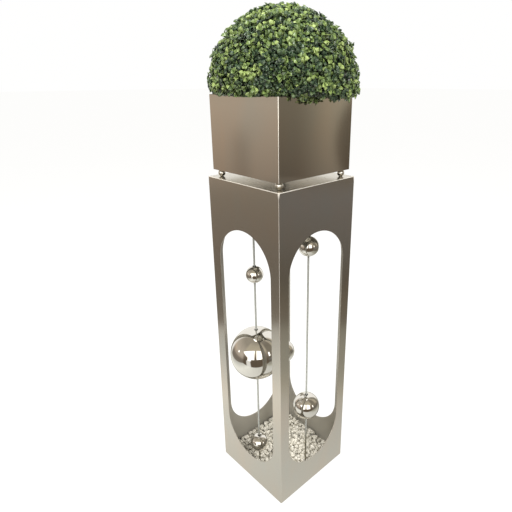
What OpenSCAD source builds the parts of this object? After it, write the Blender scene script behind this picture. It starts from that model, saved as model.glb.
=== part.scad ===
// Column planter: a square stainless column with a tall window in each face,
// polished balls on three rods inside it, a square planter on four ball feet,
// and a clipped boxwood dome in a lift-out liner.
// The origin is on the floor, at the middle of the column.

/* [Column] */
// Outside width and depth of the square column
column_w = 290; // [280:5:330]
// Height of the column
column_h = 1000; // [1000:10:1200]
// Thickness of the stainless sheet
sheet_t = 1.5; // [1:0.25:2]
// Outside radius of the folded edges
fold_r = 2.5; // [2.5:0.25:5]
// Thickness of the plate that closes the column's top
top_plate_t = 2; // [1.5:0.5:4]
// Thickness of the plate that closes the column's foot
base_plate_t = 3; // [2:0.5:5]

/* [Windows] */
// Width of the window in each face
window_w = 222; // [200:2:230]
// Height of the window's lowest point above the floor
window_bottom = 90; // [70:2:110]
// Height of the window's highest point above the floor
window_top = 870; // [830:2:900]

/* [Rods] */
// Diameter of the rods
rod_d = 6; // [5:0.5:8]
// Diameter of the circle that the rods stand on
rod_circle_d = 182; // [172:2:190]
// Turn of the rods about the column's middle
rod_turn = 15; // [12:1:18]
// Wall of the seats that hold the rods' feet
seat_wall = 4; // [3:0.5:6]
// Height of the seats
seat_h = 12; // [8:1:13]

/* [Balls] */
// Wall of the hollow balls
ball_wall = 0.8; // [0.6:0.1:1.5]
// Diameter of the front rod's top ball
front_top_d = 52; // [40:2:60]
// Height of the front rod's top ball
front_top_z = 718; // [700:2:730]
// Diameter of the front rod's large ball
front_large_d = 164; // [140:2:170]
// Height of the front rod's large ball
front_large_z = 450; // [444:2:456]
// Diameter of the front rod's low ball
front_low_d = 60; // [50:2:66]
// Height of the front rod's low ball
front_low_z = 92; // [84:2:100]
// Diameter of the side rod's top ball
side_top_d = 60; // [50:2:70]
// Height of the side rod's top ball
side_top_z = 807; // [795:2:815]
// Diameter of the side rod's low ball
side_low_d = 86; // [76:2:92]
// Height of the side rod's low ball
side_low_z = 248; // [236:2:260]
// Diameter of the back rod's ball
back_d = 80; // [70:2:86]
// Height of the back rod's ball
back_z = 365; // [355:1:375]

/* [Grommets] */
// Wall of the rubber grommets in the balls' holes
grommet_wall = 1.5; // [1:0.25:2]
// How far the grommet's lip stands out past its hole
lip_w = 1; // [0.5:0.25:1.5]
// Thickness of the grommet's lip
lip_t = 1; // [0.6:0.1:1.5]
// Length of the grommet inside the ball
grommet_l = 4; // [3:0.5:6]

/* [Gravel] */
// Depth of the gravel on the base plate
gravel_depth = 15; // [14:0.5:17]
// Space between the gravel bed and the column's walls
gravel_gap = 1; // [0.5:0.5:3]

/* [Planter] */
// How far the planter's sides stand in from the column's
planter_inset = 10; // [6:1:14]
// Height of the planter
planter_h = 200; // [190:5:260]
// Thickness of the planter's floor
planter_floor_t = 2; // [1.5:0.5:3]
// Height of the hem that is folded inwards at the rim
hem_h = 15; // [10:1:20]

/* [Feet] */
// Diameter of the ball feet
foot_d = 21; // [20:0.5:28]
// How far each pole of a ball foot is cut flat
foot_flat = 0.5; // [0.5:0.1:0.6]
// Distance from the column's side to the middle of a foot
foot_inset = 27; // [25:1:32]
// Diameter of the foot bolts
bolt_d = 6; // [5:1:8]
// How far the bolts reach down past the column's top plate
bolt_out = 6; // [4:1:12]

/* [Hardware] */
// Wall of the nuts and bolt heads, from the thread to the flats
hex_wall = 2; // [1.5:0.25:2.5]
// Height of the bolt heads
head_h = 4; // [3:0.5:5]
// Height of the rod nuts
nut_h = 5; // [4:0.5:6]
// How far a washer stands out round its thread
washer_lap = 3; // [2:0.5:4]
// Thickness of the washers
washer_t = 1.6; // [1:0.1:2]

/* [Liner] */
// Wall of the plastic liner
liner_t = 2.5; // [2:0.5:4]
// Thickness of the liner's rim
liner_rim_t = 3; // [2:0.5:4]
// Width of the liner's rim past its wall
liner_rim_w = 4; // [2:0.5:6]
// Corner radius of the liner
liner_r = 16; // [10:1:24]
// Space between the liner's rim and the planter's rim edge
liner_drop = 12; // [8:1:20]
// Depth from the planter's rim to the soil
soil_drop = 30; // [24:1:60]

/* [Plant] */
// Diameter of the boxwood dome
dome_d = 400; // [380:5:440]
// Height of the dome's widest place above the planter's rim
dome_rise = 16; // [12:1:30]
// Space between the planter's rim and the lowest leaves
dome_gap = 6; // [4:1:10]
// Depth of the leaves
leaf_depth = 32; // [24:2:44]
// Wall of the dome's plastic frame
frame_t = 3; // [2:0.5:5]
// Width of the frame's spokes
spoke_w = 12; // [8:1:20]
// Thickness of the frame's spokes
spoke_t = 4; // [3:0.5:6]
// Diameter of the frame's hub
hub_d = 30; // [24:1:40]
// Height of the frame's hub
hub_h = 20; // [16:1:24]
// Diameter of the stake that holds the dome in the soil
stake_d = 12; // [10:1:16]
// Length of the stake
stake_l = 130; // [110:5:150]

/* [Clearances] */
// Radial clearance of the rods and bolts in their bores
run_gap = 0.05; // [0.03:0.01:0.08]
// Radial clearance of the bolt ends in the column's top plate
pin_gap = 0.6; // [0.4:0.1:1]
// Radial clearance of bolts and rods in plain plate holes
hole_gap = 0.2; // [0.1:0.05:0.4]
// Space between the liner and what it passes
liner_gap = 1; // [0.5:0.25:2]
// Space round the soil, the gravel's holes and the leaves
soft_gap = 0.3; // [0.3:0.1:0.6]

/* [Hidden] */
$fn = 96;

// Extra length of a cut past the face that it goes through
cut = 1;

// Column
half = column_w / 2;
inner_half = half - sheet_t;
plate_w = 2 * inner_half;
window_r = window_w / 2;

// Rods: the side rod stands at rod_turn, and the others a third of a turn on
side_turn = rod_turn;
back_turn = rod_turn + 120;
front_turn = rod_turn + 240;
rod_turns = [side_turn, back_turn, front_turn];
rod_r = rod_circle_d / 2;
rod_bore_d = rod_d + 2 * run_gap;
rod_hole_d = rod_d + 2 * hole_gap;
seat_d = rod_d + 2 * seat_wall;
nut_af = rod_d + 2 * hex_wall;
rod_washer_z = column_h - top_plate_t - washer_t;
rod_nut_z = rod_washer_z - nut_h;

// Grommets
grommet_d = rod_d + 2 * grommet_wall;

// Feet
foot_gap = foot_d - 2 * foot_flat;
foot_at = half - foot_inset;
foot_spots = [for (x = [-1, 1], y = [-1, 1]) [x * foot_at, y * foot_at]];
bolt_bore_d = bolt_d + 2 * run_gap;
bolt_hole_d = bolt_d + 2 * hole_gap;
pin_hole_d = bolt_d + 2 * pin_gap;
head_af = bolt_d + 2 * hex_wall;
foot_washer_d = bolt_d + 2 * washer_lap;

// Planter
planter_w = column_w - 2 * planter_inset;
planter_z = column_h + foot_gap;
rim_z = planter_z + planter_h;
floor_top = planter_z + planter_floor_t;
hem_t = 2 * sheet_t;
mouth_w = planter_w - 2 * hem_t;

// Liner and soil
rim_w = mouth_w - 2 * liner_gap;
liner_top_w = rim_w - 2 * liner_rim_w;
liner_foot_w = 2 * foot_at - foot_washer_d - 4 * liner_gap;
liner_h = rim_z - liner_drop - floor_top;
soil_h = rim_z - soil_drop - floor_top - liner_t - soft_gap;

// Plant
dome_z = rim_z + dome_rise;
leaf_z = rim_z + dome_gap;
frame_r = dome_d / 2 - leaf_depth - soft_gap;
frame_z = leaf_z + 2;
hub_roof = 2;
hub_z = frame_z + spoke_t - hub_h;
stake_top = frame_z + spoke_t - hub_roof;

// Places its children on a rod, at a height
module on_rod(turn, z = 0) {
    rotate([0, 0, turn])
        translate([rod_r, 0, z])
            children();
}

// Places its children at the four feet
module at_feet(z) {
    for (p = foot_spots)
        translate([p[0], p[1], z])
            children();
}

// Square plate with rounded corners, on z = 0
module rounded_plate(w, h, r) {
    linear_extrude(height = h) {
        square([w - 2 * r, w], center = true);
        square([w, w - 2 * r], center = true);
        for (x = [-1, 1], y = [-1, 1])
            translate([x * (w / 2 - r), y * (w / 2 - r)])
                circle(r = r);
    }
}

// A square tube with folded corners, on z = 0
module folded_tube(w, h, t) {
    difference() {
        rounded_plate(w, h, fold_r);
        translate([0, 0, -cut])
            rounded_plate(w - 2 * t, h + 2 * cut, max(fold_r - t, 0.5));
    }
}

// Half of the column's tube: a sheet folded once, with its fold at +X and -Y
module half_tube() {
    l = column_w - fold_r;
    difference() {
        union() {
            translate([-half, -half, 0])
                cube([l, sheet_t, column_h]);
            translate([inner_half, -half + fold_r, 0])
                cube([sheet_t, l - sheet_t, column_h]);
            translate([half - fold_r, -half + fold_r, 0])
                intersection() {
                    difference() {
                        cylinder(r = fold_r, h = column_h);
                        translate([0, 0, -cut])
                            cylinder(r = fold_r - sheet_t, h = column_h + 2 * cut);
                    }
                    translate([0, -fold_r, 0])
                        cube([fold_r, fold_r, column_h]);
                }
        }
        window_cut();
        rotate([0, 0, 90])
            window_cut();
    }
}

// The window's outline, a slot with round ends, cut through along Y
module window_cut() {
    low = window_bottom + window_r;
    high = window_top - window_r;
    rotate([90, 0, 0])
        translate([0, 0, -half - cut])
            linear_extrude(height = column_w + 2 * cut) {
                translate([0, low])
                    circle(r = window_r);
                translate([0, high])
                    circle(r = window_r);
                translate([-window_r, low])
                    square([window_w, high - low]);
            }
}

module column_front() {
    color("silver")
        half_tube();
}

module column_back() {
    color("silver")
        rotate([0, 0, 180])
            half_tube();
}

module top_plate() {
    color("gainsboro")
        translate([0, 0, column_h - top_plate_t])
            difference() {
                rounded_plate(plate_w, top_plate_t, fold_r);
                for (turn = rod_turns)
                    on_rod(turn, -cut)
                        cylinder(d = rod_hole_d, h = top_plate_t + 2 * cut);
                at_feet(-cut)
                    cylinder(d = pin_hole_d, h = top_plate_t + 2 * cut);
            }
}

module base_plate() {
    color("gainsboro")
        rounded_plate(plate_w, base_plate_t, fold_r);
}

module rod_seats() {
    color("silver")
        for (turn = rod_turns)
            on_rod(turn, base_plate_t)
                difference() {
                    cylinder(d = seat_d, h = seat_h);
                    translate([0, 0, -cut])
                        cylinder(d = rod_bore_d, h = seat_h + 2 * cut);
                }
}

module rod(turn) {
    color("lightgray")
        on_rod(turn, base_plate_t)
            cylinder(d = rod_d, h = column_h - base_plate_t);
}

module washer(thread_d) {
    difference() {
        cylinder(d = thread_d + 2 * washer_lap, h = washer_t);
        translate([0, 0, -cut])
            cylinder(d = thread_d + 2 * hole_gap, h = washer_t + 2 * cut);
    }
}

// The washers lie against the underside of the column's top plate
module rod_washers() {
    color("silver")
        for (turn = rod_turns)
            on_rod(turn, rod_washer_z)
                washer(rod_d);
}

// A hexagonal prism, by the width across its flats
module hexagon(af, h) {
    cylinder(d = af / cos(30), h = h, $fn = 6);
}

// The nuts are wound up against the top plate, and so press the rods down onto the base plate
module rod_nuts() {
    color("silver")
        for (turn = rod_turns)
            on_rod(turn, rod_nut_z)
                difference() {
                    hexagon(nut_af, nut_h);
                    translate([0, 0, -cut])
                        cylinder(d = rod_bore_d, h = nut_h + 2 * cut);
                }
}

module gravel_bed() {
    color("antiquewhite")
        translate([0, 0, base_plate_t])
            difference() {
                rounded_plate(plate_w - 2 * gravel_gap, gravel_depth, fold_r);
                for (turn = rod_turns)
                    on_rod(turn, -cut)
                        cylinder(d = seat_d + 2 * soft_gap, h = gravel_depth + 2 * cut);
            }
}

// A hollow ball with a grommet hole at each pole, centred on its rod
module hollow_ball(d) {
    color("whitesmoke")
        difference() {
            sphere(d = d);
            sphere(d = d - 2 * ball_wall);
            cylinder(d = grommet_d, h = d + 2 * cut, center = true);
        }
}

// The two grommets of a ball, one at each pole
module grommets(d) {
    color("dimgray")
        for (flip = [0, 1])
            mirror([0, 0, flip])
                translate([0, 0, d / 2])
                    difference() {
                        union() {
                            translate([0, 0, -grommet_l])
                                cylinder(d = grommet_d, h = grommet_l + lip_t);
                            cylinder(d = grommet_d + 2 * lip_w, h = lip_t);
                        }
                        translate([0, 0, -grommet_l - cut])
                            cylinder(d = rod_bore_d, h = grommet_l + lip_t + 2 * cut);
                    }
}

module planter_walls() {
    color("silver")
        translate([0, 0, planter_z]) {
            folded_tube(planter_w, planter_h, sheet_t);
            translate([0, 0, planter_h - hem_h])
                difference() {
                    rounded_plate(planter_w, hem_h, fold_r);
                    translate([0, 0, -cut])
                        rounded_plate(mouth_w, hem_h + 2 * cut, 0.5);
                }
        }
}

module planter_floor() {
    color("gainsboro")
        translate([0, 0, planter_z])
            difference() {
                rounded_plate(planter_w - 2 * sheet_t, planter_floor_t, fold_r);
                at_feet(-cut)
                    cylinder(d = bolt_hole_d, h = planter_floor_t + 2 * cut);
            }
}

module ball_feet() {
    color("whitesmoke")
        at_feet(column_h + foot_gap / 2)
            difference() {
                intersection() {
                    sphere(d = foot_d);
                    translate([-foot_d, -foot_d, -foot_gap / 2])
                        cube([2 * foot_d, 2 * foot_d, foot_gap]);
                }
                cylinder(d = bolt_bore_d, h = foot_d + 2 * cut, center = true);
            }
}

module foot_washers() {
    color("silver")
        at_feet(floor_top)
            washer(bolt_d);
}

module foot_bolts() {
    head_z = floor_top + washer_t;
    end_z = column_h - top_plate_t - bolt_out;
    tip = 1;
    color("silver")
        at_feet(0) {
            translate([0, 0, head_z])
                hexagon(head_af, head_h);
            translate([0, 0, end_z + tip])
                cylinder(d = bolt_d, h = head_z - end_z - tip);
            translate([0, 0, end_z])
                cylinder(d1 = bolt_d - 2 * tip, d2 = bolt_d, h = tip);
        }
}

// A square tub whose sides spread from foot_w to top_w, on z = 0
module tub(foot_w, top_w, h, r) {
    linear_extrude(height = h, scale = top_w / foot_w)
        offset(r = r, $fn = 32)
            square(foot_w - 2 * r, center = true);
}

// Width of the liner's outside at a height above its foot
function liner_w_at(z) = liner_foot_w + (liner_top_w - liner_foot_w) * z / liner_h;

module liner() {
    color("darkslategray")
        translate([0, 0, floor_top])
            difference() {
                union() {
                    tub(liner_foot_w, liner_top_w, liner_h, liner_r);
                    translate([0, 0, liner_h - liner_rim_t])
                        rounded_plate(rim_w, liner_rim_t, liner_r + liner_rim_w);
                }
                translate([0, 0, liner_t])
                    tub(
                        liner_w_at(liner_t) - 2 * liner_t,
                        liner_w_at(liner_h + cut) - 2 * liner_t,
                        liner_h - liner_t + cut,
                        liner_r - liner_t
                    );
            }
}

module soil() {
    soil_z = liner_t + soft_gap;
    wall = liner_t + soft_gap;
    color("saddlebrown")
        translate([0, 0, floor_top + soil_z])
            difference() {
                tub(
                    liner_w_at(soil_z) - 2 * wall,
                    liner_w_at(soil_z + soil_h) - 2 * wall,
                    soil_h,
                    liner_r - liner_t
                );
                translate([0, 0, stake_top - stake_l - soft_gap - floor_top - soil_z])
                    cylinder(d = stake_d + 2 * soft_gap, h = stake_l);
            }
}

module plant_stake() {
    color("darkolivegreen")
        translate([0, 0, stake_top - stake_l])
            cylinder(d = stake_d, h = stake_l);
}

// The part of a ball about the dome's middle that lies above a height
module dome(r, low) {
    difference() {
        translate([0, 0, dome_z])
            sphere(r = r);
        translate([-dome_d, -dome_d, low - 2 * dome_d])
            cube([2 * dome_d, 2 * dome_d, 2 * dome_d]);
    }
}

module dome_frame() {
    spoke_l = 2 * frame_r - frame_t;
    color("darkgreen")
        difference() {
            union() {
                difference() {
                    dome(frame_r, frame_z);
                    translate([0, 0, dome_z])
                        sphere(r = frame_r - frame_t);
                }
                for (turn = [0, 90])
                    rotate([0, 0, turn])
                        translate([-spoke_l / 2, -spoke_w / 2, frame_z])
                            cube([spoke_l, spoke_w, spoke_t]);
                translate([0, 0, hub_z])
                    cylinder(d = hub_d, h = hub_h);
            }
            translate([0, 0, hub_z - cut])
                cylinder(d = stake_d + 2 * run_gap, h = stake_top - hub_z + cut);
        }
}

module foliage_dome() {
    color("forestgreen")
        difference() {
            dome(dome_d / 2, leaf_z);
            translate([0, 0, dome_z])
                sphere(r = dome_d / 2 - leaf_depth);
        }
}

column_front();
column_back();
top_plate();
base_plate();
rod_seats();
rod(front_turn);  // rod_front
rod(side_turn);  // rod_side
rod(back_turn);  // rod_back
rod_washers();
rod_nuts();
gravel_bed();
on_rod(front_turn, front_top_z) hollow_ball(front_top_d);  // ball_front_top
on_rod(front_turn, front_large_z) hollow_ball(front_large_d);  // ball_front_large
on_rod(front_turn, front_low_z) hollow_ball(front_low_d);  // ball_front_low
on_rod(side_turn, side_top_z) hollow_ball(side_top_d);  // ball_side_top
on_rod(side_turn, side_low_z) hollow_ball(side_low_d);  // ball_side_low
on_rod(back_turn, back_z) hollow_ball(back_d);  // ball_back
on_rod(front_turn, front_top_z) grommets(front_top_d);  // grommets_front_top
on_rod(front_turn, front_large_z) grommets(front_large_d);  // grommets_front_large
on_rod(front_turn, front_low_z) grommets(front_low_d);  // grommets_front_low
on_rod(side_turn, side_top_z) grommets(side_top_d);  // grommets_side_top
on_rod(side_turn, side_low_z) grommets(side_low_d);  // grommets_side_low
on_rod(back_turn, back_z) grommets(back_d);  // grommets_back
planter_walls();
planter_floor();
ball_feet();
foot_bolts();
foot_washers();
liner();
soil();
plant_stake();
dome_frame();
foliage_dome();
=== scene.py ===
"""Looks of the column planter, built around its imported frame.

A square column of brushed stainless sheet has a tall window in each face. Polished
balls hang on three rods inside it, over a bed of marble chips. A square planter of the
same sheet stands on the column on four ball feet and holds a liner with a clipped
boxwood dome. Lengths are in metres. The origin is on the floor, at the middle of the
column, and the photograph is taken towards the fold at +X and -Y.
"""

import logging
import math
from abc import ABC, abstractmethod
from dataclasses import dataclass, field
from enum import Enum

import bmesh
import bpy
import numpy as np
from mathutils import Matrix, Vector


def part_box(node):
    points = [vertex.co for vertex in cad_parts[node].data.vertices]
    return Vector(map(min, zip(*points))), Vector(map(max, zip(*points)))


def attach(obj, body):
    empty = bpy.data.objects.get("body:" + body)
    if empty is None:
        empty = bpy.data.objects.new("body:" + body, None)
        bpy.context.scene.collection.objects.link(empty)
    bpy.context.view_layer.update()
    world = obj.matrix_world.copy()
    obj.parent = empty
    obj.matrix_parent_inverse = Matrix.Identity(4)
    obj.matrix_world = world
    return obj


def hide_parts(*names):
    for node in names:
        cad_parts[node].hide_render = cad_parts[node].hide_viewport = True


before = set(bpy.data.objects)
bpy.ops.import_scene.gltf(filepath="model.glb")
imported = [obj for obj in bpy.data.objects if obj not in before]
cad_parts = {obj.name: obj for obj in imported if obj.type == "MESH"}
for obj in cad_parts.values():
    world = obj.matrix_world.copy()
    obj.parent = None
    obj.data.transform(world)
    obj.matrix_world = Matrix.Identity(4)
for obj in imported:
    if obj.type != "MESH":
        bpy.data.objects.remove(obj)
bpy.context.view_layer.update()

LOG = logging.getLogger("column_planter")
MM = 0.001

Array = np.ndarray
Socket = bpy.types.NodeSocket
Colour = tuple[float, float, float]
Place = tuple[float, float, float]

# Points nearer than this are one.
MEET = 0.002 * MM

# The gap round a rod or a bolt in a bore that holds it, and the one in a washer.
CLOSE = 0.05 * MM
LOOSE = 0.2 * MM


class Body(Enum):
    """The bodies that the pieces ride on, apart from the balls'."""

    COLUMN = "column"
    PLANTER = "planter"
    INSERT = "insert"


class Slot(Enum):
    """Names of material slots. The feet's table lists two of them, but no piece takes its finish from them.
    """

    BRUSHED = "brushed_sheet"
    POLISHED = "polished_steel"
    ROD = "rod_steel"
    FASTENER = "fastener_steel"
    RUBBER = "black_rubber"
    MARBLE = "marble_gravel"
    LINER = "black_plastic"
    SOIL = "potting_soil"
    LEAF = "boxwood_leaves"


class Pull(Enum):
    """Which way the grain of a brushed face runs."""

    UPRIGHT = (1.0, 1.0, 0.006)
    LEVEL = (0.006, 1.0, 1.0)


@dataclass
class Shape:
    """A mesh in the making.

    points holds a place in each row. faces holds arrays of point numbers, one face in a
    row. maps gives each point its place on the finish's map, and marks gives it named
    numbers that the finish reads.
    """

    points: Array
    faces: list[Array]
    maps: Array | None = None
    marks: dict[str, Array] = field(default_factory=dict)

    def moved(self, by: Array) -> "Shape":
        """The same shape, moved."""
        return Shape(self.points + by, self.faces, self.maps, self.marks)

    def half_turned(self) -> "Shape":
        """The same shape, turned by half a turn about the upright axis."""
        return Shape(self.points * (-1.0, -1.0, 1.0), self.faces, self.maps, self.marks)

    def build(self, name: str, finish: bpy.types.Material, smooth: bool = True) -> bpy.types.Object:
        """Makes the Blender object.

        Args:
            name: the piece's name.
            finish: its material.
            smooth: whether neighbouring faces shade into each other.

        Returns:
            The object, at the origin, with its place in its mesh.
        """
        corners = np.concatenate([part.ravel() for part in self.faces]).astype(np.int32)
        sizes = np.concatenate([np.full(len(part), part.shape[1]) for part in self.faces])
        starts = np.concatenate([[0], np.cumsum(sizes)[:-1]]).astype(np.int32)
        mesh = bpy.data.meshes.new(name)
        mesh.vertices.add(len(self.points))
        mesh.vertices.foreach_set("co", self.points.astype(np.float32).ravel())
        mesh.loops.add(len(corners))
        mesh.loops.foreach_set("vertex_index", corners)
        mesh.polygons.add(len(sizes))
        mesh.polygons.foreach_set("loop_start", starts)
        mesh.polygons.foreach_set("use_smooth", np.full(len(sizes), smooth))
        if self.maps is not None:
            layer = mesh.uv_layers.new(name="UVMap")
            layer.data.foreach_set("uv", self.maps[corners].astype(np.float32).ravel())
        for mark, values in self.marks.items():
            attribute = mesh.attributes.new(mark, "FLOAT", "POINT")
            attribute.data.foreach_set("value", values.astype(np.float32))
        mesh.update(calc_edges=True)
        mesh.validate()
        mesh.materials.append(finish)
        piece = bpy.data.objects.new(name, mesh)
        bpy.context.scene.collection.objects.link(piece)
        return piece


def join(shapes: list[Shape]) -> Shape:
    """One shape that holds several, each as it was.

    Args:
        shapes: shapes with the same marks, and maps on all or on none.

    Returns:
        The joined shape.
    """
    starts = np.cumsum([0] + [len(s.points) for s in shapes[:-1]])
    faces = [part + start for s, start in zip(shapes, starts) for part in s.faces]
    maps = None if shapes[0].maps is None else np.concatenate([s.maps for s in shapes])
    marks = {m: np.concatenate([s.marks[m] for s in shapes]) for m in shapes[0].marks}
    return Shape(np.concatenate([s.points for s in shapes]), faces, maps, marks)


def grid_faces(rows: int, columns: int) -> Array:
    """Four-cornered faces between neighbouring points of a grid that is stored row by row."""
    low = (np.arange(rows - 1)[:, None] * columns + np.arange(columns - 1)).ravel()
    return np.stack([low, low + 1, low + columns + 1, low + columns], axis=1)


def sheet(grid: Array, along: Array | None = None, across: Array | None = None) -> Shape:
    """A surface over a grid of places.

    Args:
        grid: rows by columns by 3 places.
        along: each column's place on the map.
        across: each row's place on the map.

    Returns:
        The surface, mapped where both of these are given.
    """
    rows, columns = grid.shape[:2]
    maps = None
    if along is not None and across is not None:
        maps = np.stack(np.broadcast_arrays(along[None], across[:, None]), -1).reshape(-1, 2)
    return Shape(grid.reshape(-1, 3), [grid_faces(rows, columns)], maps)


def weld(piece: bpy.types.Object, closed: bool = True, sharp: float | None = 35.0) -> bpy.types.Object:
    """Merges the points that meet and turns the faces outwards.

    Args:
        piece: the object to close.
        closed: False for an open sheet round the upright axis, whose faces are turned
            away from that axis.
        sharp: the angle in degrees past which an edge shades sharply, if any does.

    Returns:
        The same object.
    """
    shell = bmesh.new()
    shell.from_mesh(piece.data)
    bmesh.ops.remove_doubles(shell, verts=shell.verts[:], dist=MEET)
    bmesh.ops.recalc_face_normals(shell, faces=shell.faces[:])
    if not closed:
        level = Vector((1, 1, 0))
        ways = (f.calc_area() * f.normal.dot(f.calc_center_median() * level) for f in shell.faces)
        if sum(ways) < 0:
            bmesh.ops.reverse_faces(shell, faces=shell.faces[:])
    shell.to_mesh(piece.data)
    shell.free()
    if sharp is not None:
        piece.data.set_sharp_from_angle(angle=math.radians(sharp))
    return piece


def even_shading(piece: bpy.types.Object) -> None:
    """Lets wide flat faces keep their own shading up to their rounded edges.

    Args:
        piece: the piece.
    """
    modifier = piece.modifiers.new("even_shading", "WEIGHTED_NORMAL")
    modifier.mode = "FACE_AREA"
    modifier.keep_sharp = True


def fit(piece: bpy.types.Object, body: str, node: str) -> None:
    """Ties a piece to its body and the solids that it stands for.

    Args:
        piece: the piece.
        body: the name of the body that it moves with.
        node: the node whose solids it stands for.
    """
    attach(piece, body)
    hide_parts(node)
    LOG.info("%s: %d faces, on %s", piece.name, len(piece.data.polygons), body)


def dress(node: str, finish: bpy.types.Material) -> None:
    """Gives a solid that keeps its own shape a finish.

    Args:
        node: the solid's node.
        finish: its material.
    """
    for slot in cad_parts[node].material_slots:
        slot.material = finish
    LOG.info("%s: keeps its shape, in %s", node, finish.name)


def foot_and_top(node: str) -> tuple[float, float]:
    """The heights of a node's lowest and highest points."""
    low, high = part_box(node)
    return low.z, high.z


def distance_along(path: Array) -> Array:
    """The distance gone at each point of a flat path."""
    return np.cumsum(np.r_[0, np.hypot(*np.diff(path, axis=0).T)])


def around_axis(radius: Array, turn: Array, height: Array | float) -> Array:
    """Places about the upright axis: radius times the turn's cosine and sine, and height."""
    return np.stack(np.broadcast_arrays(radius * np.cos(turn), radius * np.sin(turn), height), -1)


def unit(rows: Array) -> Array:
    """Directions brought to unit length."""
    return rows / np.linalg.norm(rows, axis=-1, keepdims=True)


def spun(first: Array, second: Array, turn: Array) -> tuple[Array, Array]:
    """Two coordinates of points after a turn in their plane, from the first towards the second."""
    cos, sin = np.cos(turn)[..., None], np.sin(turn)[..., None]
    return first * cos - second * sin, first * sin + second * cos


def copies(faces: Array, count: int, points: int) -> Array:
    """The faces of so many copies of a shape, each with so many points of its own."""
    starts = np.arange(count)[:, None, None] * points
    return (faces[None] + starts).reshape(-1, faces.shape[1])


def turned(profile: Array, steps: int) -> Shape:
    """A profile turned about the upright axis.

    Args:
        profile: radius and height in each row, closed by repeating its first row or by
            starting and ending on the axis.
        steps: how many steps a whole turn has.

    Returns:
        The surface, mapped by the way round and the way along the profile.
    """
    turn = np.linspace(0.0, 2 * math.pi, steps + 1)
    grid = around_axis(profile[:, :1], turn, profile[:, 1:])
    return sheet(grid, turn * profile[:, 0].max(), distance_along(profile))


def arc(centre: tuple[float, float], radius: float, start: float, end: float, steps: int) -> Array:
    """Points on an arc, as centre plus radius times (cosine, sine), between two angles in degrees."""
    turn = np.radians(np.linspace(start, end, steps + 1))
    return np.stack([centre[0] + radius * np.cos(turn), centre[1] + radius * np.sin(turn)], -1)


def closed_profile(*parts: Array | list) -> Array:
    """One closed profile from parts of it, in order."""
    rows = np.concatenate([np.atleast_2d(np.asarray(part, float)) for part in parts])
    return np.concatenate([rows, rows[:1]])


def ring_profile(bore: float, outer: float, low: float, high: float, ease: float) -> Array:
    """The section of a plain ring whose outer edges and bore edges are eased by small arcs."""
    return closed_profile(
        arc((outer - ease, low + ease), ease, -90, 0, 4),
        arc((outer - ease, high - ease), ease, 0, 90, 4),
        arc((bore + ease, high - ease), ease, 90, 180, 4),
        arc((bore + ease, low + ease), ease, 180, 270, 4),
    )


def rounded_squares(half: Array, radius: Array, steps: int) -> Array:
    """Outlines of squares with rounded corners, one outline in a row.

    A corner's points lie on an arc about a centre that is half minus radius from both
    middle lines.

    Args:
        half: half the width of each square.
        radius: the corner radius of each square.
        steps: how many steps a corner has.

    Returns:
        Rows by points by 2, each outline closed by its first point.
    """
    turn = np.radians(np.arange(4)[:, None] * 90 + np.linspace(0, 90, steps + 1))
    signs = np.array([[1, 1], [-1, 1], [-1, -1], [1, -1]])[:, None]
    round_part = np.stack([np.cos(turn), np.sin(turn)], -1)
    inner = (half - radius)[:, None, None, None]
    outline = (signs * inner + round_part * radius[:, None, None, None]).reshape(len(half), -1, 2)
    return np.concatenate([outline, outline[:, :1]], axis=1)


def square_loft(rows: Array, steps: int, capped: bool = False) -> Shape:
    """A surface through rounded squares at different heights.

    Args:
        rows: half width, corner radius and height in each row.
        steps: how many steps a corner has.
        capped: whether a flat face closes the first square and another one the last.

    Returns:
        The surface, mapped by the way round and the way along the rows.
    """
    outline = rounded_squares(rows[:, 0], rows[:, 1], steps)
    columns = outline.shape[1]
    height = np.broadcast_to(rows[:, 2][:, None, None], (len(rows), columns, 1))
    widest = outline[np.argmax(rows[:, 0])]
    grid = np.concatenate([outline, height], axis=-1)
    shape = sheet(grid, distance_along(widest), distance_along(rows[:, [0, 2]]))
    if capped:
        for start in (0, (len(rows) - 1) * columns):
            shape.faces.append(np.arange(start, start + columns - 1)[None])
    return shape


def waves(x: Array, y: Array, length: float, seed: int, count: int = 14) -> Array:
    """Smooth uneven ground: the mean of sine waves of random direction, phase and length.

    Args:
        x: places along X.
        y: places along Y.
        length: the middle wave length.
        seed: the seed of the draws.
        count: how many waves there are.

    Returns:
        Heights of about -1 to 1 for each place.
    """
    draw = np.random.default_rng(seed)
    turn = draw.uniform(0, 2 * math.pi, count)
    phase = draw.uniform(0, 2 * math.pi, count)
    pitch = 2 * math.pi / (length * draw.uniform(0.5, 1.8, count))
    path = x[..., None] * np.cos(turn) + y[..., None] * np.sin(turn)
    return np.sin(path * pitch + phase).mean(-1) * math.sqrt(count) / 1.5


def eased(value: Array, start: Array | float, end: Array | float) -> Array:
    """How far a value is from start to end, as three squares less two cubes of its share of the way."""
    share = np.clip((value - start) / (end - start), 0, 1)
    return share * share * (3 - 2 * share)


def within(value: Array, start: Array | float, end: Array | float, soft: float) -> Array:
    """1 between start and end and 0 outside them, eased over a soft stretch about each."""
    half = soft / 2
    return eased(value, start - half, start + half) * eased(value, end + half, end - half)


def tinted(place: Array, stops: dict[float, Colour]) -> Array:
    """Colours read along a line of stops: each channel changes evenly from stop to stop."""
    colours = np.array(list(stops.values())).T
    return np.stack([np.interp(place, list(stops), channel) for channel in colours], -1)


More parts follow.
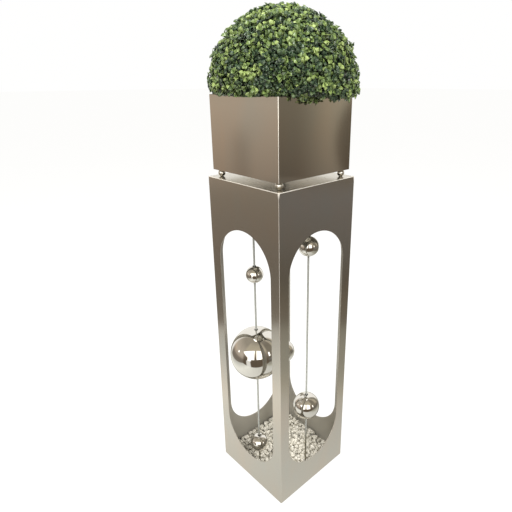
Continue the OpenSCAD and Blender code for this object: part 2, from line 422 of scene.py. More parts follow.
class Shader:
    """A material's nodes, with short ways to add the ones that the finishes share."""

    def __init__(self, name: str) -> None:
        """Starts a material that shows one Principled shader.

        Args:
            name: the material's name.
        """
        self.material = bpy.data.materials.new(name)
        self.material.use_nodes = True
        self.tree = self.material.node_tree
        self.tree.nodes.clear()
        self.output = self.add("ShaderNodeOutputMaterial")
        self.surface = self.add("ShaderNodeBsdfPrincipled")
        self.show(self.surface.outputs["BSDF"])

    def add(self, kind: str, **settings: object) -> bpy.types.Node:
        """Adds a node and sets its settings.

        Args:
            kind: the node's type.
            **settings: its properties.

        Returns:
            The node.
        """
        node = self.tree.nodes.new(kind)
        for name, value in settings.items():
            setattr(node, name, value)
        return node

    def give(self, target: Socket, value: object) -> None:
        """Links a socket to a socket, or sets it to a number or a colour.

        Args:
            target: the input socket.
            value: an output socket, a number or a colour.
        """
        if isinstance(value, Socket):
            self.tree.links.new(value, target)
        elif isinstance(value, tuple) and len(value) == 3 and target.type == "RGBA":
            target.default_value = (*value, 1.0)
        else:
            target.default_value = value

    def show(self, surface: Socket) -> None:
        """Makes a surface the one that the material shows."""
        self.give(self.output.inputs["Surface"], surface)

    def set(self, **values: object) -> None:
        """Sets the Principled shader's sockets, named with underscores for spaces."""
        for name, value in values.items():
            self.give(self.surface.inputs[name.replace("_", " ")], value)

    def coordinates(self, stretch: Place = (1, 1, 1)) -> Socket:
        """Object coordinates, stretched along the three axes.

        Args:
            stretch: the factor along each axis.

        Returns:
            The stretched coordinates.
        """
        mapping = self.add("ShaderNodeMapping")
        mapping.inputs["Scale"].default_value = stretch
        self.give(mapping.inputs["Vector"], self.add("ShaderNodeTexCoord").outputs["Object"])
        return mapping.outputs["Vector"]

    def axes(self, place: Socket) -> dict[str, Socket]:
        """The X, Y and Z of a place, each by its letter.

        Args:
            place: the place.

        Returns:
            The three numbers.
        """
        node = self.add("ShaderNodeSeparateXYZ")
        self.give(node.inputs[0], place)
        return {axis: node.outputs[axis] for axis in "XYZ"}

    def noise(self, scale: float, detail: float = 2.0, stretch: Place = (1, 1, 1)) -> Socket:
        """Soft noise of about 0 to 1, with so many spots to a metre.

        Args:
            scale: spots to a metre.
            detail: how many finer layers it has.
            stretch: the factor on the coordinates along each axis.

        Returns:
            The noise.
        """
        node = self.add("ShaderNodeTexNoise")
        self.give(node.inputs["Vector"], self.coordinates(stretch))
        node.inputs["Scale"].default_value = scale
        node.inputs["Detail"].default_value = detail
        return node.outputs["Fac"]

    def attribute(self, name: str) -> Socket:
        """A number that the mesh gives each point."""
        return self.add("ShaderNodeAttribute", attribute_name=name).outputs["Fac"]

    def math(self, operation: str, first: object, second: object = 0.0) -> Socket:
        """One number, or two put together.

        Args:
            operation: what is done with them.
            first: a socket or a number.
            second: another one, where the operation has two.

        Returns:
            The result.
        """
        node = self.add("ShaderNodeMath", operation=operation)
        self.give(node.inputs[0], first)
        self.give(node.inputs[1], second)
        return node.outputs[0]

    def weigh(self, first: Socket, second: Socket, share: float) -> Socket:
        """The mean of two numbers, in which the first has a share and the second the rest."""
        rest = self.math("MULTIPLY", second, 1 - share)
        return self.math("ADD", self.math("MULTIPLY", first, share), rest)

    def spread(self, value: Socket, low: float, high: float, start: float = 0.3, end: float = 0.7) -> Socket:
        """A number from start to end, spread over low to high.

        Args:
            value: the number.
            low: what start becomes.
            high: what end becomes.
            start: where the spread starts.
            end: where it ends.

        Returns:
            The new number.
        """
        node = self.add("ShaderNodeMapRange")
        given = {"Value": value, "From Min": start, "From Max": end, "To Min": low, "To Max": high}
        for name, each in given.items():
            self.give(node.inputs[name], each)
        return node.outputs["Result"]

    def mix(self, share: object, first: object, second: object) -> Socket:
        """Two colours, mixed by a share of the second.

        Args:
            share: the share.
            first: a socket or a colour.
            second: another one.

        Returns:
            The mixed colour.
        """
        node = self.add("ShaderNodeMix", data_type="RGBA")
        self.give(node.inputs[0], share)
        self.give(node.inputs[6], first)
        self.give(node.inputs[7], second)
        return node.outputs[2]

    def ramp(self, value: Socket, stops: dict[float, Colour]) -> Socket:
        """A colour that changes with a number, from stop to stop.

        Args:
            value: the number.
            stops: the colour at each of its stops.

        Returns:
            The colour.
        """
        node = self.add("ShaderNodeValToRGB")
        self.give(node.inputs["Fac"], value)
        elements = node.color_ramp.elements
        while len(elements) < len(stops):
            elements.new(0.5)
        for element, (place, colour) in zip(elements, stops.items()):
            element.position = place
            element.color = (*colour, 1.0)
        return node.outputs["Color"]

    def bump(self, height: Socket, depth: float, strength: float = 1.0) -> None:
        """Raises the surface by a height of 0 to 1 times a depth in metres.

        Args:
            height: the height.
            depth: the depth.
            strength: how much of it shows.
        """
        node = self.add("ShaderNodeBump")
        node.inputs["Distance"].default_value = depth
        node.inputs["Strength"].default_value = strength
        self.give(node.inputs["Height"], height)
        self.set(Normal=node.outputs["Normal"])

    def glow(self, colour: object) -> Socket:
        """Plain light of a colour.

        Args:
            colour: a socket or a colour.

        Returns:
            The light, as a surface.
        """
        node = self.add("ShaderNodeEmission")
        self.give(node.inputs["Color"], colour)
        return node.outputs[0]


@dataclass(frozen=True)
class Finish(ABC):
    """A finish that makes its material once."""

    name: str

    @abstractmethod
    def build(self) -> bpy.types.Material:
        """Makes the material.

        Returns:
            The material.
        """


@dataclass(frozen=True)
class BrushedSteel(Finish):
    """Stainless sheet with a straight grain.

    Fine streaks and bands follow the grain, broad clouds tint it warm and cool, and all
    of them change its gloss. They are given as spots to a metre. On a mapped sheet,
    reflections spread across the grain, a painted highlight makes the marked folds and
    edges bright and matt, and the side nearer the axis than inside is dull.
    """

    pull: Pull = Pull.UPRIGHT
    warm: Colour = (0.635, 0.57, 0.5)
    cool: Colour = (0.59, 0.575, 0.53)
    # The bright colour below is a painted highlight on the folds and upper edges.
    bright: Colour = (0.82, 0.77, 0.68)
    dull: Colour = (0.385, 0.365, 0.315)
    smooth: float = 0.15
    rough: float = 0.22
    # How matt the painted highlight and the dull side are made.
    matt_rough: float = 0.45
    less_metal: float = 0.6
    spread_across: float = 0.7
    inside: float = 0.0
    mapped: bool = True
    streaks: float = 1500
    bands: float = 70
    clouds: float = 7
    depth: float = 0.02 * MM

    def build(self) -> bpy.types.Material:
        """Makes the material.

        Returns:
            The material.
        """
        shader = Shader(self.name)
        fine = shader.noise(self.streaks, 2.0, self.pull.value)
        band = shader.noise(self.bands, 3.0, self.pull.value)
        cloud = shader.noise(self.clouds, 3.0, (1.0, 1.0, 0.6))
        grain = shader.weigh(fine, band, 0.45)
        tint = shader.weigh(cloud, grain, 0.75)
        colour = shader.mix(shader.spread(tint, 0, 1, 0.36, 0.64), self.warm, self.cool)
        roughness = shader.spread(shader.weigh(grain, cloud, 0.5), self.smooth, self.rough)
        metallic = 1.0
        if self.mapped:
            # Painted highlight: the marked folds and edges are made bright and matt.
            wear_and_highlight = shader.attribute("wear_and_highlight")
            place = shader.axes(shader.coordinates())
            across = (shader.math("ABSOLUTE", place[axis]) for axis in "XY")
            dull = shader.math("LESS_THAN", shader.math("MAXIMUM", *across), self.inside)
            colour = shader.mix(dull, shader.mix(wear_and_highlight, colour, self.bright), self.dull)
            matt = shader.math("MAXIMUM", wear_and_highlight, dull)
            roughness = shader.math("MAXIMUM", roughness, shader.math("MULTIPLY", matt, self.matt_rough))
            metallic = shader.math("SUBTRACT", 1.0, shader.math("MULTIPLY", matt, self.less_metal))
            tangent = shader.add("ShaderNodeTangent", direction_type="UV_MAP", uv_map="UVMap")
            shader.set(Anisotropic=self.spread_across, Tangent=tangent.outputs["Tangent"])
        shader.set(Base_Color=colour, Metallic=metallic, Roughness=roughness)
        shader.bump(fine, self.depth, 0.2)
        return shader.material


@dataclass(frozen=True)
class PolishedSteel(Finish):
    """Mirror-polished steel with a breath of clouds and wiping marks, as spots to a metre.

    If a height is given, the steel is darker up to 0.6 of it, and less and less from
    there up to it.
    """

    colour: Colour = (0.82, 0.8, 0.76)
    haze: Colour = (0.76, 0.74, 0.7)
    smooth: float = 0.02
    rough: float = 0.06
    metallic: float = 1.0
    darker_below: float = 0.0
    low_colour: Colour = (0.28, 0.26, 0.2)
    clouds: float = 22
    wipes: float = 260

    def build(self) -> bpy.types.Material:
        """Makes the material.

        Returns:
            The material.
        """
        shader = Shader(self.name)
        wipe = shader.noise(self.wipes, 2.0, (1.0, 1.0, 0.12))
        marks = shader.weigh(shader.noise(self.clouds, 5.0), wipe, 0.5)
        colour = shader.mix(shader.spread(marks, 0, 1), self.colour, self.haze)
        # The colour darkens towards the foot.
        if self.darker_below:
            height = shader.axes(shader.coordinates())["Z"]
            low = shader.spread(height, 1.0, 0.0, 0.6 * self.darker_below, self.darker_below)
            colour = shader.mix(low, colour, self.low_colour)
        shader.set(
            Base_Color=colour,
            Metallic=self.metallic,
            Roughness=shader.spread(marks, self.smooth, self.rough),
        )
        return shader.material


@dataclass(frozen=True)
class Moulded(Finish):
    """Moulded plastic or rubber, with a fine grain and patches of slight wear, as spots to a metre."""

    colour: Colour
    wear_and_highlight: Colour
    smooth: float
    rough: float
    patches: float = 35
    grain: float = 1400
    depth: float = 0.05 * MM

    def build(self) -> bpy.types.Material:
        """Makes the material.

        Returns:
            The material.
        """
        shader = Shader(self.name)
        patch = shader.noise(self.patches, 4.0)
        shader.set(
            Base_Color=shader.mix(shader.spread(patch, 0, 1), self.colour, self.wear_and_highlight),
            Roughness=shader.spread(patch, self.smooth, self.rough),
        )
        shader.bump(shader.noise(self.grain), self.depth, 0.6)
        return shader.material


@dataclass(frozen=True)
class Marble(Finish):
    """Crushed marble: each chip has its own tone, with grey veins and a sugary break.

    Its veins, gloss and sugar are given as spots to a metre.
    """

    white: Colour = (0.585, 0.555, 0.485)
    cream: Colour = (0.485, 0.46, 0.39)
    grey: Colour = (0.35, 0.33, 0.28)
    veins: float = 330
    gloss: float = 900
    sugar: float = 1300
    depth: float = 0.2 * MM

    def build(self) -> bpy.types.Material:
        """Makes the material.

        Returns:
            The material.
        """
        shader = Shader(self.name)
        tone = shader.ramp(shader.attribute("tone"), {0.0: self.grey, 0.15: self.cream, 1.0: self.white})
        vein = shader.spread(shader.noise(self.veins, 5.0), 0, 0.3, 0.56, 0.72)
        shader.set(
            Base_Color=shader.mix(vein, tone, self.grey),
            Roughness=shader.spread(shader.noise(self.gloss), 0.45, 0.75),
        )
        shader.bump(shader.noise(self.sugar, 3.0), self.depth, 0.3)
        return shader.material


@dataclass(frozen=True)
class Soil(Finish):
    """Dark potting soil with pale crumbs."""

    dark: Colour = (0.018, 0.012, 0.008)
    brown: Colour = (0.07, 0.045, 0.028)
    crumbs: float = 420
    depth: float = 1.6 * MM

    def build(self) -> bpy.types.Material:
        """Makes the material.

        Returns:
            The material.
        """
        shader = Shader(self.name)
        crumb = shader.noise(self.crumbs, 6.0)
        shader.set(
            Base_Color=shader.mix(shader.spread(crumb, 0, 1), self.dark, self.brown),
            Roughness=shader.spread(crumb, 0.8, 1.0),
        )
        shader.bump(crumb, self.depth)
        return shader.material


@dataclass(frozen=True)
class Leaf(Finish):
    """Glossy boxwood leaves, dark when old and yellow-green when young.

    The leaf's own tone picks its colour, patches of the dome shift it, and a pale rib
    runs down its middle.
    """

    old: Colour = (0.013, 0.025, 0.016)
    ripe: Colour = (0.032, 0.058, 0.03)
    young: Colour = (0.108, 0.158, 0.04)
    tip: Colour = (0.225, 0.29, 0.09)
    patches: float = 26
    gloss: float = 240
    grain: float = 700
    depth: float = 0.2 * MM

    def build(self) -> bpy.types.Material:
        """Makes the material.

        Returns:
            The material.
        """
        shader = Shader(self.name)
        patch = shader.spread(shader.noise(self.patches, 3.0), -0.1, 0.1)
        tone = shader.math("ADD", shader.attribute("tone"), patch)
        body = shader.ramp(tone, {0.0: self.old, 0.38: self.ripe, 0.72: self.young, 1.0: self.tip})
        place = shader.axes(shader.add("ShaderNodeUVMap", uv_map="UVMap").outputs["UV"])
        off_rib = shader.math("ABSOLUTE", shader.math("SUBTRACT", place["X"], 0.5))
        rib = shader.spread(off_rib, 0.3, 0.0, 0.0, 0.09)
        shader.set(
            Base_Color=shader.mix(rib, body, self.tip),
            Roughness=shader.spread(shader.noise(self.gloss), 0.18, 0.36),
            Specular_IOR_Level=0.75,
            Coat_Weight=0.6,
            Coat_Roughness=0.12,
        )
        shader.bump(shader.noise(self.grain), self.depth, 0.4)
        return shader.material


@dataclass
class Sheetwork:
    """What the column and the planter share: their sheet and how it is folded."""

    finish: bpy.types.Material
    sheet_t: float = 1.5 * MM
    fold_r: float = 2.5 * MM
    edge_r: float = 0.3 * MM
    # Where across a fold the painted highlight starts, and over how much of it it fades in.
    highlight_start: float = 0.42
    highlight_fade: float = 0.4

    def wear_and_highlight(self, shape: Shape, half: float) -> Shape:
        """Marks the middle of each fold for a painted highlight: its points are near both faces.

        Args:
            shape: a square sheet form about the upright axis.
            half: half its width.

        Returns:
            The same shape.
        """
        inward = np.abs(shape.points[:, :2]).min(axis=1) - (half - self.fold_r)
        shape.marks["wear_and_highlight"] = np.clip((inward / self.fold_r - self.highlight_start) / self.highlight_fade, 0, 1)
        return shape


@dataclass
class Column(Sheetwork):
    """The square column: two folded halves with windows, and its closing plates."""

    plate_finish: bpy.types.Material = field(kw_only=True)
    window_w: float = 222 * MM
    window_low: float = 90 * MM
    window_high: float = 870 * MM
    arc_steps: int = 64
    side_steps: int = 20
    fold_steps: int = 8
    rings: tuple[float, ...] = (0, 0.06, 0.35, 0.985, 1)
    # How the painted highlight on the folds grows with height: from where, over what height, its least and
    # its most.
    highlight_from: float = 0.1
    highlight_over: float = 0.5
    highlight_least: float = 0.35
    highlight_most: float = 0.9

    def __post_init__(self) -> None:
        """Reads the column's size from the frame, and finds the window's straight sides."""
        _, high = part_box("column_front")
        self.half, self.height = high.x, high.z
        self.window_r = self.window_w / 2
        self.low, self.high = self.window_low + self.window_r, self.window_high - self.window_r
        self.up = np.linspace(self.low, self.high, self.side_steps + 1)[:-1]
        self.down = self.low + self.high - self.up

    def outline(self, right: float, top: Array, left: float, foot: Array) -> Array:
        """An outline: up a straight right side, over its top, down its left side and along its foot.

        Args:
            right: where the right side is.
            top: the points over the top, whose last one starts the left side.
            left: where the left side is.
            foot: the points along the foot.

        Returns:
            Places across and up the panel.
        """
        return np.concatenate([
            np.stack([np.full_like(self.up, right), self.up], -1),
            top[:-1],
            np.stack([np.full_like(self.down, left), self.down], -1),
            foot,
        ])

    def window(self) -> Array:
        """The window's outline: two upright sides joined by half circles.

        Returns:
            Places across and up the panel.
        """
        top = arc((0, self.high), self.window_r, 0, 180, self.arc_steps)
        foot = arc((0, self.low), self.window_r, 180, 360, self.arc_steps)
        return self.outline(self.window_r, top, -self.window_r, foot)

    def border(self, start: float, end: float) -> Array:
        """The panel's outline, with a point for each of the window's.

        Beside a half circle, the first quarter of the points goes up the panel's side,
        the middle half along its end and the last quarter down its other side.

        Args:
            start: the panel's near side.
            end: its far side.

        Returns:
            Places across and up the panel.
        """
        part = np.linspace(0, 1, self.arc_steps + 1)
        stops = [0, 0.25, 0.75, 1]
        over = np.interp(part, stops, [self.high, self.height, self.height, self.high])
        under = np.interp(part, stops, [self.low, 0, 0, self.low])
        top = np.stack([np.interp(part, stops, [end, end, start, start]), over], -1)
        foot = np.stack([np.interp(part, stops, [start, start, end, end]), under], -1)
        return self.outline(end, top, start, foot)

    def panel(self, start: float, end: float) -> Array:
        """Rings of points from the window out to the panel's border, as rings by points by 2."""
        share = np.array(self.rings)[:, None, None]
        return self.window() * (1 - share) + self.border(start, end) * share

    def half_tube(self) -> Shape:
        """One half of the column: a panel on the -Y face, a round fold and a panel on the +X face.

        Returns:
            The outer surface, without its thickness.
        """
        near = self.half - self.fold_r
        panel = self.panel(-self.half, near)
        across, up = np.moveaxis(panel, -1, 0)
        front = sheet(np.stack([across, np.full_like(across, -self.half), up], -1))
        front.maps = panel.reshape(-1, 2)

        # Equal heights are made one by rounding them.
        edge = self.border(-self.half, near)
        heights = np.unique(np.round(edge[np.isclose(edge[:, 0], near), 1], 9))
        turn = np.radians(np.linspace(-90, 0, self.fold_steps + 1))
        x, y = near + self.fold_r * np.cos(turn), -near + self.fold_r * np.sin(turn)
        bend_map = near + self.fold_r * (turn + math.pi / 2)
        fold = sheet(np.stack(np.broadcast_arrays(x, y, heights[:, None]), -1), bend_map, heights)

        across, up = np.moveaxis(self.panel(-near, self.half - self.sheet_t), -1, 0)
        side = sheet(np.stack([np.full_like(across, self.half), across, up], -1))
        side.maps = np.stack([across + near + bend_map[-1], up], -1).reshape(-1, 2)
        return join([front, fold, side])

    def sheet_piece(self, name: str, shape: Shape, node: str) -> None:
        """Makes one half, gives it its thickness and eases its cut edges.

        Args:
            name: the piece's name.
            shape: its outer surface.
            node: the node that it stands for.
        """
        piece = weld(shape.build(name, self.finish), closed=False, sharp=None)
        wall = piece.modifiers.new("wall", "SOLIDIFY")
        wall.thickness = self.sheet_t
        wall.offset = -1.0
        ease = piece.modifiers.new("ease", "BEVEL")
        ease.width = self.edge_r
        ease.segments = 2
        ease.limit_method = "ANGLE"
        ease.angle_limit = math.radians(50)
        even_shading(piece)
        fit(piece, Body.COLUMN.value, node)

    def build(self) -> None:
        """Builds the halves and dresses the plates.

        The folds at the front and back get a painted highlight, stronger higher up. The
        upper edge gets the painted highlight all round.
        """
        half = self.wear_and_highlight(self.half_tube(), self.half)
        x, y, z = half.points.T
        # Painted highlight along the front and back folds, stronger higher up, and along the upper edge all
        # round.
        rise = np.clip((z - self.highlight_from) / self.highlight_over, self.highlight_least, self.highlight_most)
        folds = half.marks["wear_and_highlight"] * (x * y < 0) * rise
        half.marks["wear_and_highlight"] = np.maximum(folds, z > self.height - 0.01 * MM)
        self.sheet_piece("front_sheet", half, "column_front")
        self.sheet_piece("back_sheet", half.half_turned(), "column_back")
        for node in ("top_plate", "base_plate"):
            dress(node, self.plate_finish)


@dataclass
class Planter(Sheetwork):
    """The square planter: its walls with a rolled hem, and its floor."""

    plate_finish: bpy.types.Material = field(kw_only=True)
    hem_h: float = 15 * MM
    least_r: float = 0.5 * MM
    corner_steps: int = 8

    def profile(self, low: float, high: float, half: float) -> Array:
        """The wall's section, as half width, corner radius and height.

        It goes up the outside, round the rolled rim, down the hem and down the inside.

        Args:
            low: the height of the wall's foot.
            high: the height of its rim.
            half: half its outside width.

        Returns:
            The closed section.
        """
        wall, ease = self.sheet_t, self.edge_r
        section = closed_profile(
            arc((ease, low + ease), ease, 270, 180, 3),
            arc((wall, high - wall), wall, 180, 0, 10),
            arc((2 * wall - ease, high - self.hem_h + ease), ease, 0, -90, 3),
            [(wall, high - self.hem_h)],
            arc((wall - ease, low + ease), ease, 0, -90, 3),
        )
        inset, height = section.T
        return np.stack([half - inset, np.maximum(self.fold_r - inset, self.least_r), height], -1)

    def build(self) -> None:
        """Builds the walls and dresses the floor."""
        low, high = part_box("planter_walls")
        rows = self.profile(low.z, high.z, high.x)
        # The planter's folds get a painted highlight.
        walls = self.wear_and_highlight(square_loft(rows, self.corner_steps), high.x).build("planter_sheet", self.finish)
        weld(walls, sharp=50)
        even_shading(walls)
        fit(walls, Body.PLANTER.value, "planter_walls")
        dress("planter_floor", self.plate_finish)


@dataclass
class Rods:
    """The three rods, with the seats, washers and nuts that hold them between the plates."""

    finish: bpy.types.Material
    hardware: bpy.types.Material
    names: tuple[str, ...] = ("front", "side", "back")
    rod_r: float = 3 * MM
    seat_r: float = 7 * MM
    seat_h: float = 12 * MM
    seat_ease: float = 0.5 * MM
    washer_r: float = 6 * MM
    washer_ease: float = 0.25 * MM
    nut_flats: float = 10 * MM
    nut_corner: float = 0.6 * MM
    chamfer: float = 0.3 * MM
    ease: float = 0.4 * MM

    def __post_init__(self) -> None:
        """Reads from the frame where the rods stand."""
        boxes = [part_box(f"rod_{name}") for name in self.names]
        self.low, self.high = boxes[0][0].z, boxes[0][1].z
        self.spots = np.array([[(lo.x + hi.x) / 2, (lo.y + hi.y) / 2, 0.0] for lo, hi in boxes])

    def nut(self, low: float, high: float) -> Shape:
        """A hexagon nut between two heights: a bore inside, flats outside and both ends chamfered.

        Its rows that are as wide as the whole nut are cut back to its flats.

        Args:
            low: the height of its foot.
            high: the height of its top.

        Returns:
            The nut, on the upright axis.
        """
        bore, chamfer, corner = self.rod_r + CLOSE, self.chamfer, self.nut_corner
        width, face = self.nut_flats, 0.97 * self.nut_flats / 2
        rows = np.array([
            (bore, high - chamfer), (bore, low + chamfer), (bore + chamfer, low), (face, low),
            (width, low + corner), (width, high - corner), (face, high),
            (bore + chamfer, high), (bore, high - chamfer),
        ])
        return hexagonal(rows, width)

    def build(self) -> None:
        """Builds the rods and all that holds them."""
        ease, edge = self.ease, self.rod_r - self.ease
        rod = np.array([
            (0, self.low), (edge, self.low), (self.rod_r, self.low + ease),
            (self.rod_r, self.high - ease), (edge, self.high), (0, self.high),
        ])
        for name, spot in zip(self.names, self.spots):
            piece = weld(turned(rod, 40).moved(spot).build(f"{name}_rod", self.finish))
            fit(piece, Body.COLUMN.value, f"rod_{name}")
        seats = self.low, self.low + self.seat_h
        washers = foot_and_top("rod_washers")
        rings = {
            "seats": ring_profile(self.rod_r + CLOSE, self.seat_r, *seats, self.seat_ease),
            "washers": ring_profile(self.rod_r + LOOSE, self.washer_r, *washers, self.washer_ease),
        }
        for name, profile in rings.items():
            group = join([turned(profile, 48).moved(spot) for spot in self.spots])
            piece = weld(group.build(f"{name}_of_rods", self.hardware))
            fit(piece, Body.COLUMN.value, f"rod_{name}")
        nut = self.nut(*foot_and_top("rod_nuts"))
        nuts = join([nut.moved(spot) for spot in self.spots]).build("nuts_of_rods", self.hardware)
        weld(nuts, sharp=25)
        fit(nuts, Body.COLUMN.value, "rod_nuts")


def hexagonal(rows: Array, flats: float) -> Shape:
    """A turned shape that is cut to a hexagon.

    The radius at a turn is the smaller of the row's own radius and the hexagon's, which
    is half its flats over the cosine of the turn from the nearest flat.

    Args:
        rows: radius and height in each row.
        flats: the hexagon's width across its flats.

    Returns:
        The surface.
    """
    turn = np.linspace(0.0, 2 * math.pi, 73)
    from_flat = (turn + math.pi / 6) % (math.pi / 3) - math.pi / 6
    radius = np.minimum(rows[:, :1], flats / 2 / np.cos(from_flat))
    return sheet(around_axis(radius, turn, rows[:, 1:]))


@dataclass
class Feet:
    """The planter's four ball feet, with their bolts and washers."""

    ball_finish: bpy.types.Material
    hardware: bpy.types.Material
    foot_r: float = 10.5 * MM
    bolt_r: float = 3 * MM
    tip: float = 1 * MM
    head_flats: float = 10 * MM
    under_head: float = 0.5 * MM
    over_head: float = 0.6 * MM
    washer_r: float = 6 * MM
    washer_ease: float = 0.25 * MM
    pitch: float = 1 * MM
    thread: float = 0.28 * MM
    thread_l: float = 6 * MM

    def __post_init__(self) -> None:
        """Reads from the frame where the feet and bolts stand."""
        low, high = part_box("ball_feet")
        self.low, self.high = low.z, high.z
        reach = round(high.x - self.foot_r, 4)
        self.spots = np.array([[x * reach, y * reach, 0.0] for x in (-1, 1) for y in (-1, 1)])

    def foot(self) -> Array:
        """A foot's section: a ball cut flat at both poles, with a bore.

        Returns:
            The closed section, as radius and height.
        """
        middle = (self.low + self.high) / 2
        cut = math.degrees(math.asin((self.high - self.low) / 2 / self.foot_r))
        bore = [(self.bolt_r + CLOSE, self.high), (self.bolt_r + CLOSE, self.low)]
        return closed_profile(arc((0, middle), self.foot_r, -cut, cut, 40), bore)

    def bolt(self) -> Shape:
        """A hexagon bolt, head up, with a thread on its free end.

        On the thread, the radius at a turn and a height falls by a triangle wave of the
        height over the pitch, less the turn over a whole turn.

        Returns:
            The bolt, on the upright axis.
        """
        end, top = foot_and_top("foot_bolts")
        _, seat = foot_and_top("foot_washers")
        thread_z = np.linspace(end + self.tip, end + self.thread_l, 41)
        flats = self.head_flats
        rows = np.concatenate([
            [(0, end), (self.bolt_r - self.tip, end)],
            np.stack([np.full_like(thread_z, self.bolt_r), thread_z], -1),
            [(self.bolt_r, seat), (0.97 * flats / 2, seat), (flats, seat + self.under_head)],
            [(flats, top - self.over_head), (0.98 * flats / 2, top), (0, top)],
        ])
        shape = hexagonal(rows, flats)
        grid = shape.points.reshape(len(rows), -1, 3)
        turn = np.linspace(0.0, 1.0, grid.shape[1])
        inside = slice(2, 2 + len(thread_z))
        wave = 2 * np.abs((thread_z[:, None] / self.pitch - turn) % 1.0 - 0.5)
        grid[inside, :, :2] *= (1 - wave * self.thread / self.bolt_r)[..., None]
        return shape

    def build(self) -> None:
        """Builds the feet, their bolts and their washers."""
        foot, bolt = turned(self.foot(), 64), self.bolt()
        low, high = foot_and_top("foot_washers")
        section = ring_profile(self.bolt_r + LOOSE, self.washer_r, low, high, self.washer_ease)
        washer = turned(section, 48)
        groups = (
            ("ball_feet_polished", foot, self.ball_finish, Slot.POLISHED, "ball_feet"),
            ("bolts_of_feet", bolt, self.hardware, Slot.FASTENER, "foot_bolts"),
            ("washers_of_feet", washer, self.hardware, Slot.FASTENER, "foot_washers"),
        )
        for name, shape, finish, slot, node in groups:
            piece = weld(join([shape.moved(spot) for spot in self.spots]).build(name, finish), sharp=25)
            fit(piece, Body.PLANTER.value, node)


@dataclass
class Balls:
    """The polished hollow balls on the rods, each with two rubber grommets."""

    finish: bpy.types.Material
    rubber: bpy.types.Material
    names: tuple[str, ...] = ("front_top", "front_large", "front_low", "side_top", "side_low", "back")
    wall: float = 0.8 * MM
    hole_r: float = 4.5 * MM
    bore_r: float = 3.05 * MM
    lip_r: float = 5.5 * MM
    lip_t: float = 1 * MM
    lip_ease: float = 0.35 * MM
    bed: float = 0.2 * MM
    neck: float = 4 * MM
    facet: float = 1.6 * MM

    def ball(self, radius: float) -> Shape:
        """A hollow ball about the origin: an outer and an inner arc that meet in the holes' rims.

        Args:
            radius: its outer radius.

        Returns:
            The ball.
        """
        steps = int(np.clip(math.pi * radius / self.facet / 8, 5, 12)) * 8
        inner = radius - self.wall
        outer_cut = math.degrees(math.acos(self.hole_r / radius))
        inner_cut = math.degrees(math.acos(self.hole_r / inner))
        profile = closed_profile(
            arc((0, 0), radius, -outer_cut, outer_cut, steps),
            arc((0, 0), inner, inner_cut, -inner_cut, steps // 2),
        )
        return turned(profile, steps * 2)

    def grommet(self, radius: float) -> Shape:
        """The two grommets of a ball: a neck in each hole under a round lip, bedded into the ball.

        Args:
            radius: the ball's outer radius.

        Returns:
            Both grommets.
        """
        ease, bed = self.lip_ease, radius - self.bed
        low, top = radius - self.neck, radius + self.lip_t
        profile = closed_profile(
            [(self.hole_r, low), (self.hole_r, bed)],
            arc((self.lip_r - ease, bed + ease), ease, -90, 0, 4),
            arc((self.lip_r - ease, top - ease), ease, 0, 90, 4),
            arc((self.bore_r + ease, top - ease), ease, 90, 180, 4),
            [(self.bore_r, low)],
        )
        upper = turned(profile, 40)
        lower = Shape(upper.points * (1, 1, -1), upper.faces, upper.maps)
        return join([upper, lower])

    def build(self) -> None:
        """Builds each ball and its grommets where the frame holds them."""
        for name in self.names:
            low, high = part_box(f"ball_{name}")
            centre = np.array((low + high) / 2)
            radius = round((high.x - low.x) / MM) * MM / 2
            body = f"{name}_ball"
            ball = weld(self.ball(radius).moved(centre).build(f"{name}_sphere", self.finish), sharp=50)
            fit(ball, body, f"ball_{name}")
            rubber = weld(self.grommet(radius).moved(centre).build(f"{name}_rings", self.rubber), sharp=50)
            fit(rubber, body, f"grommets_{name}")


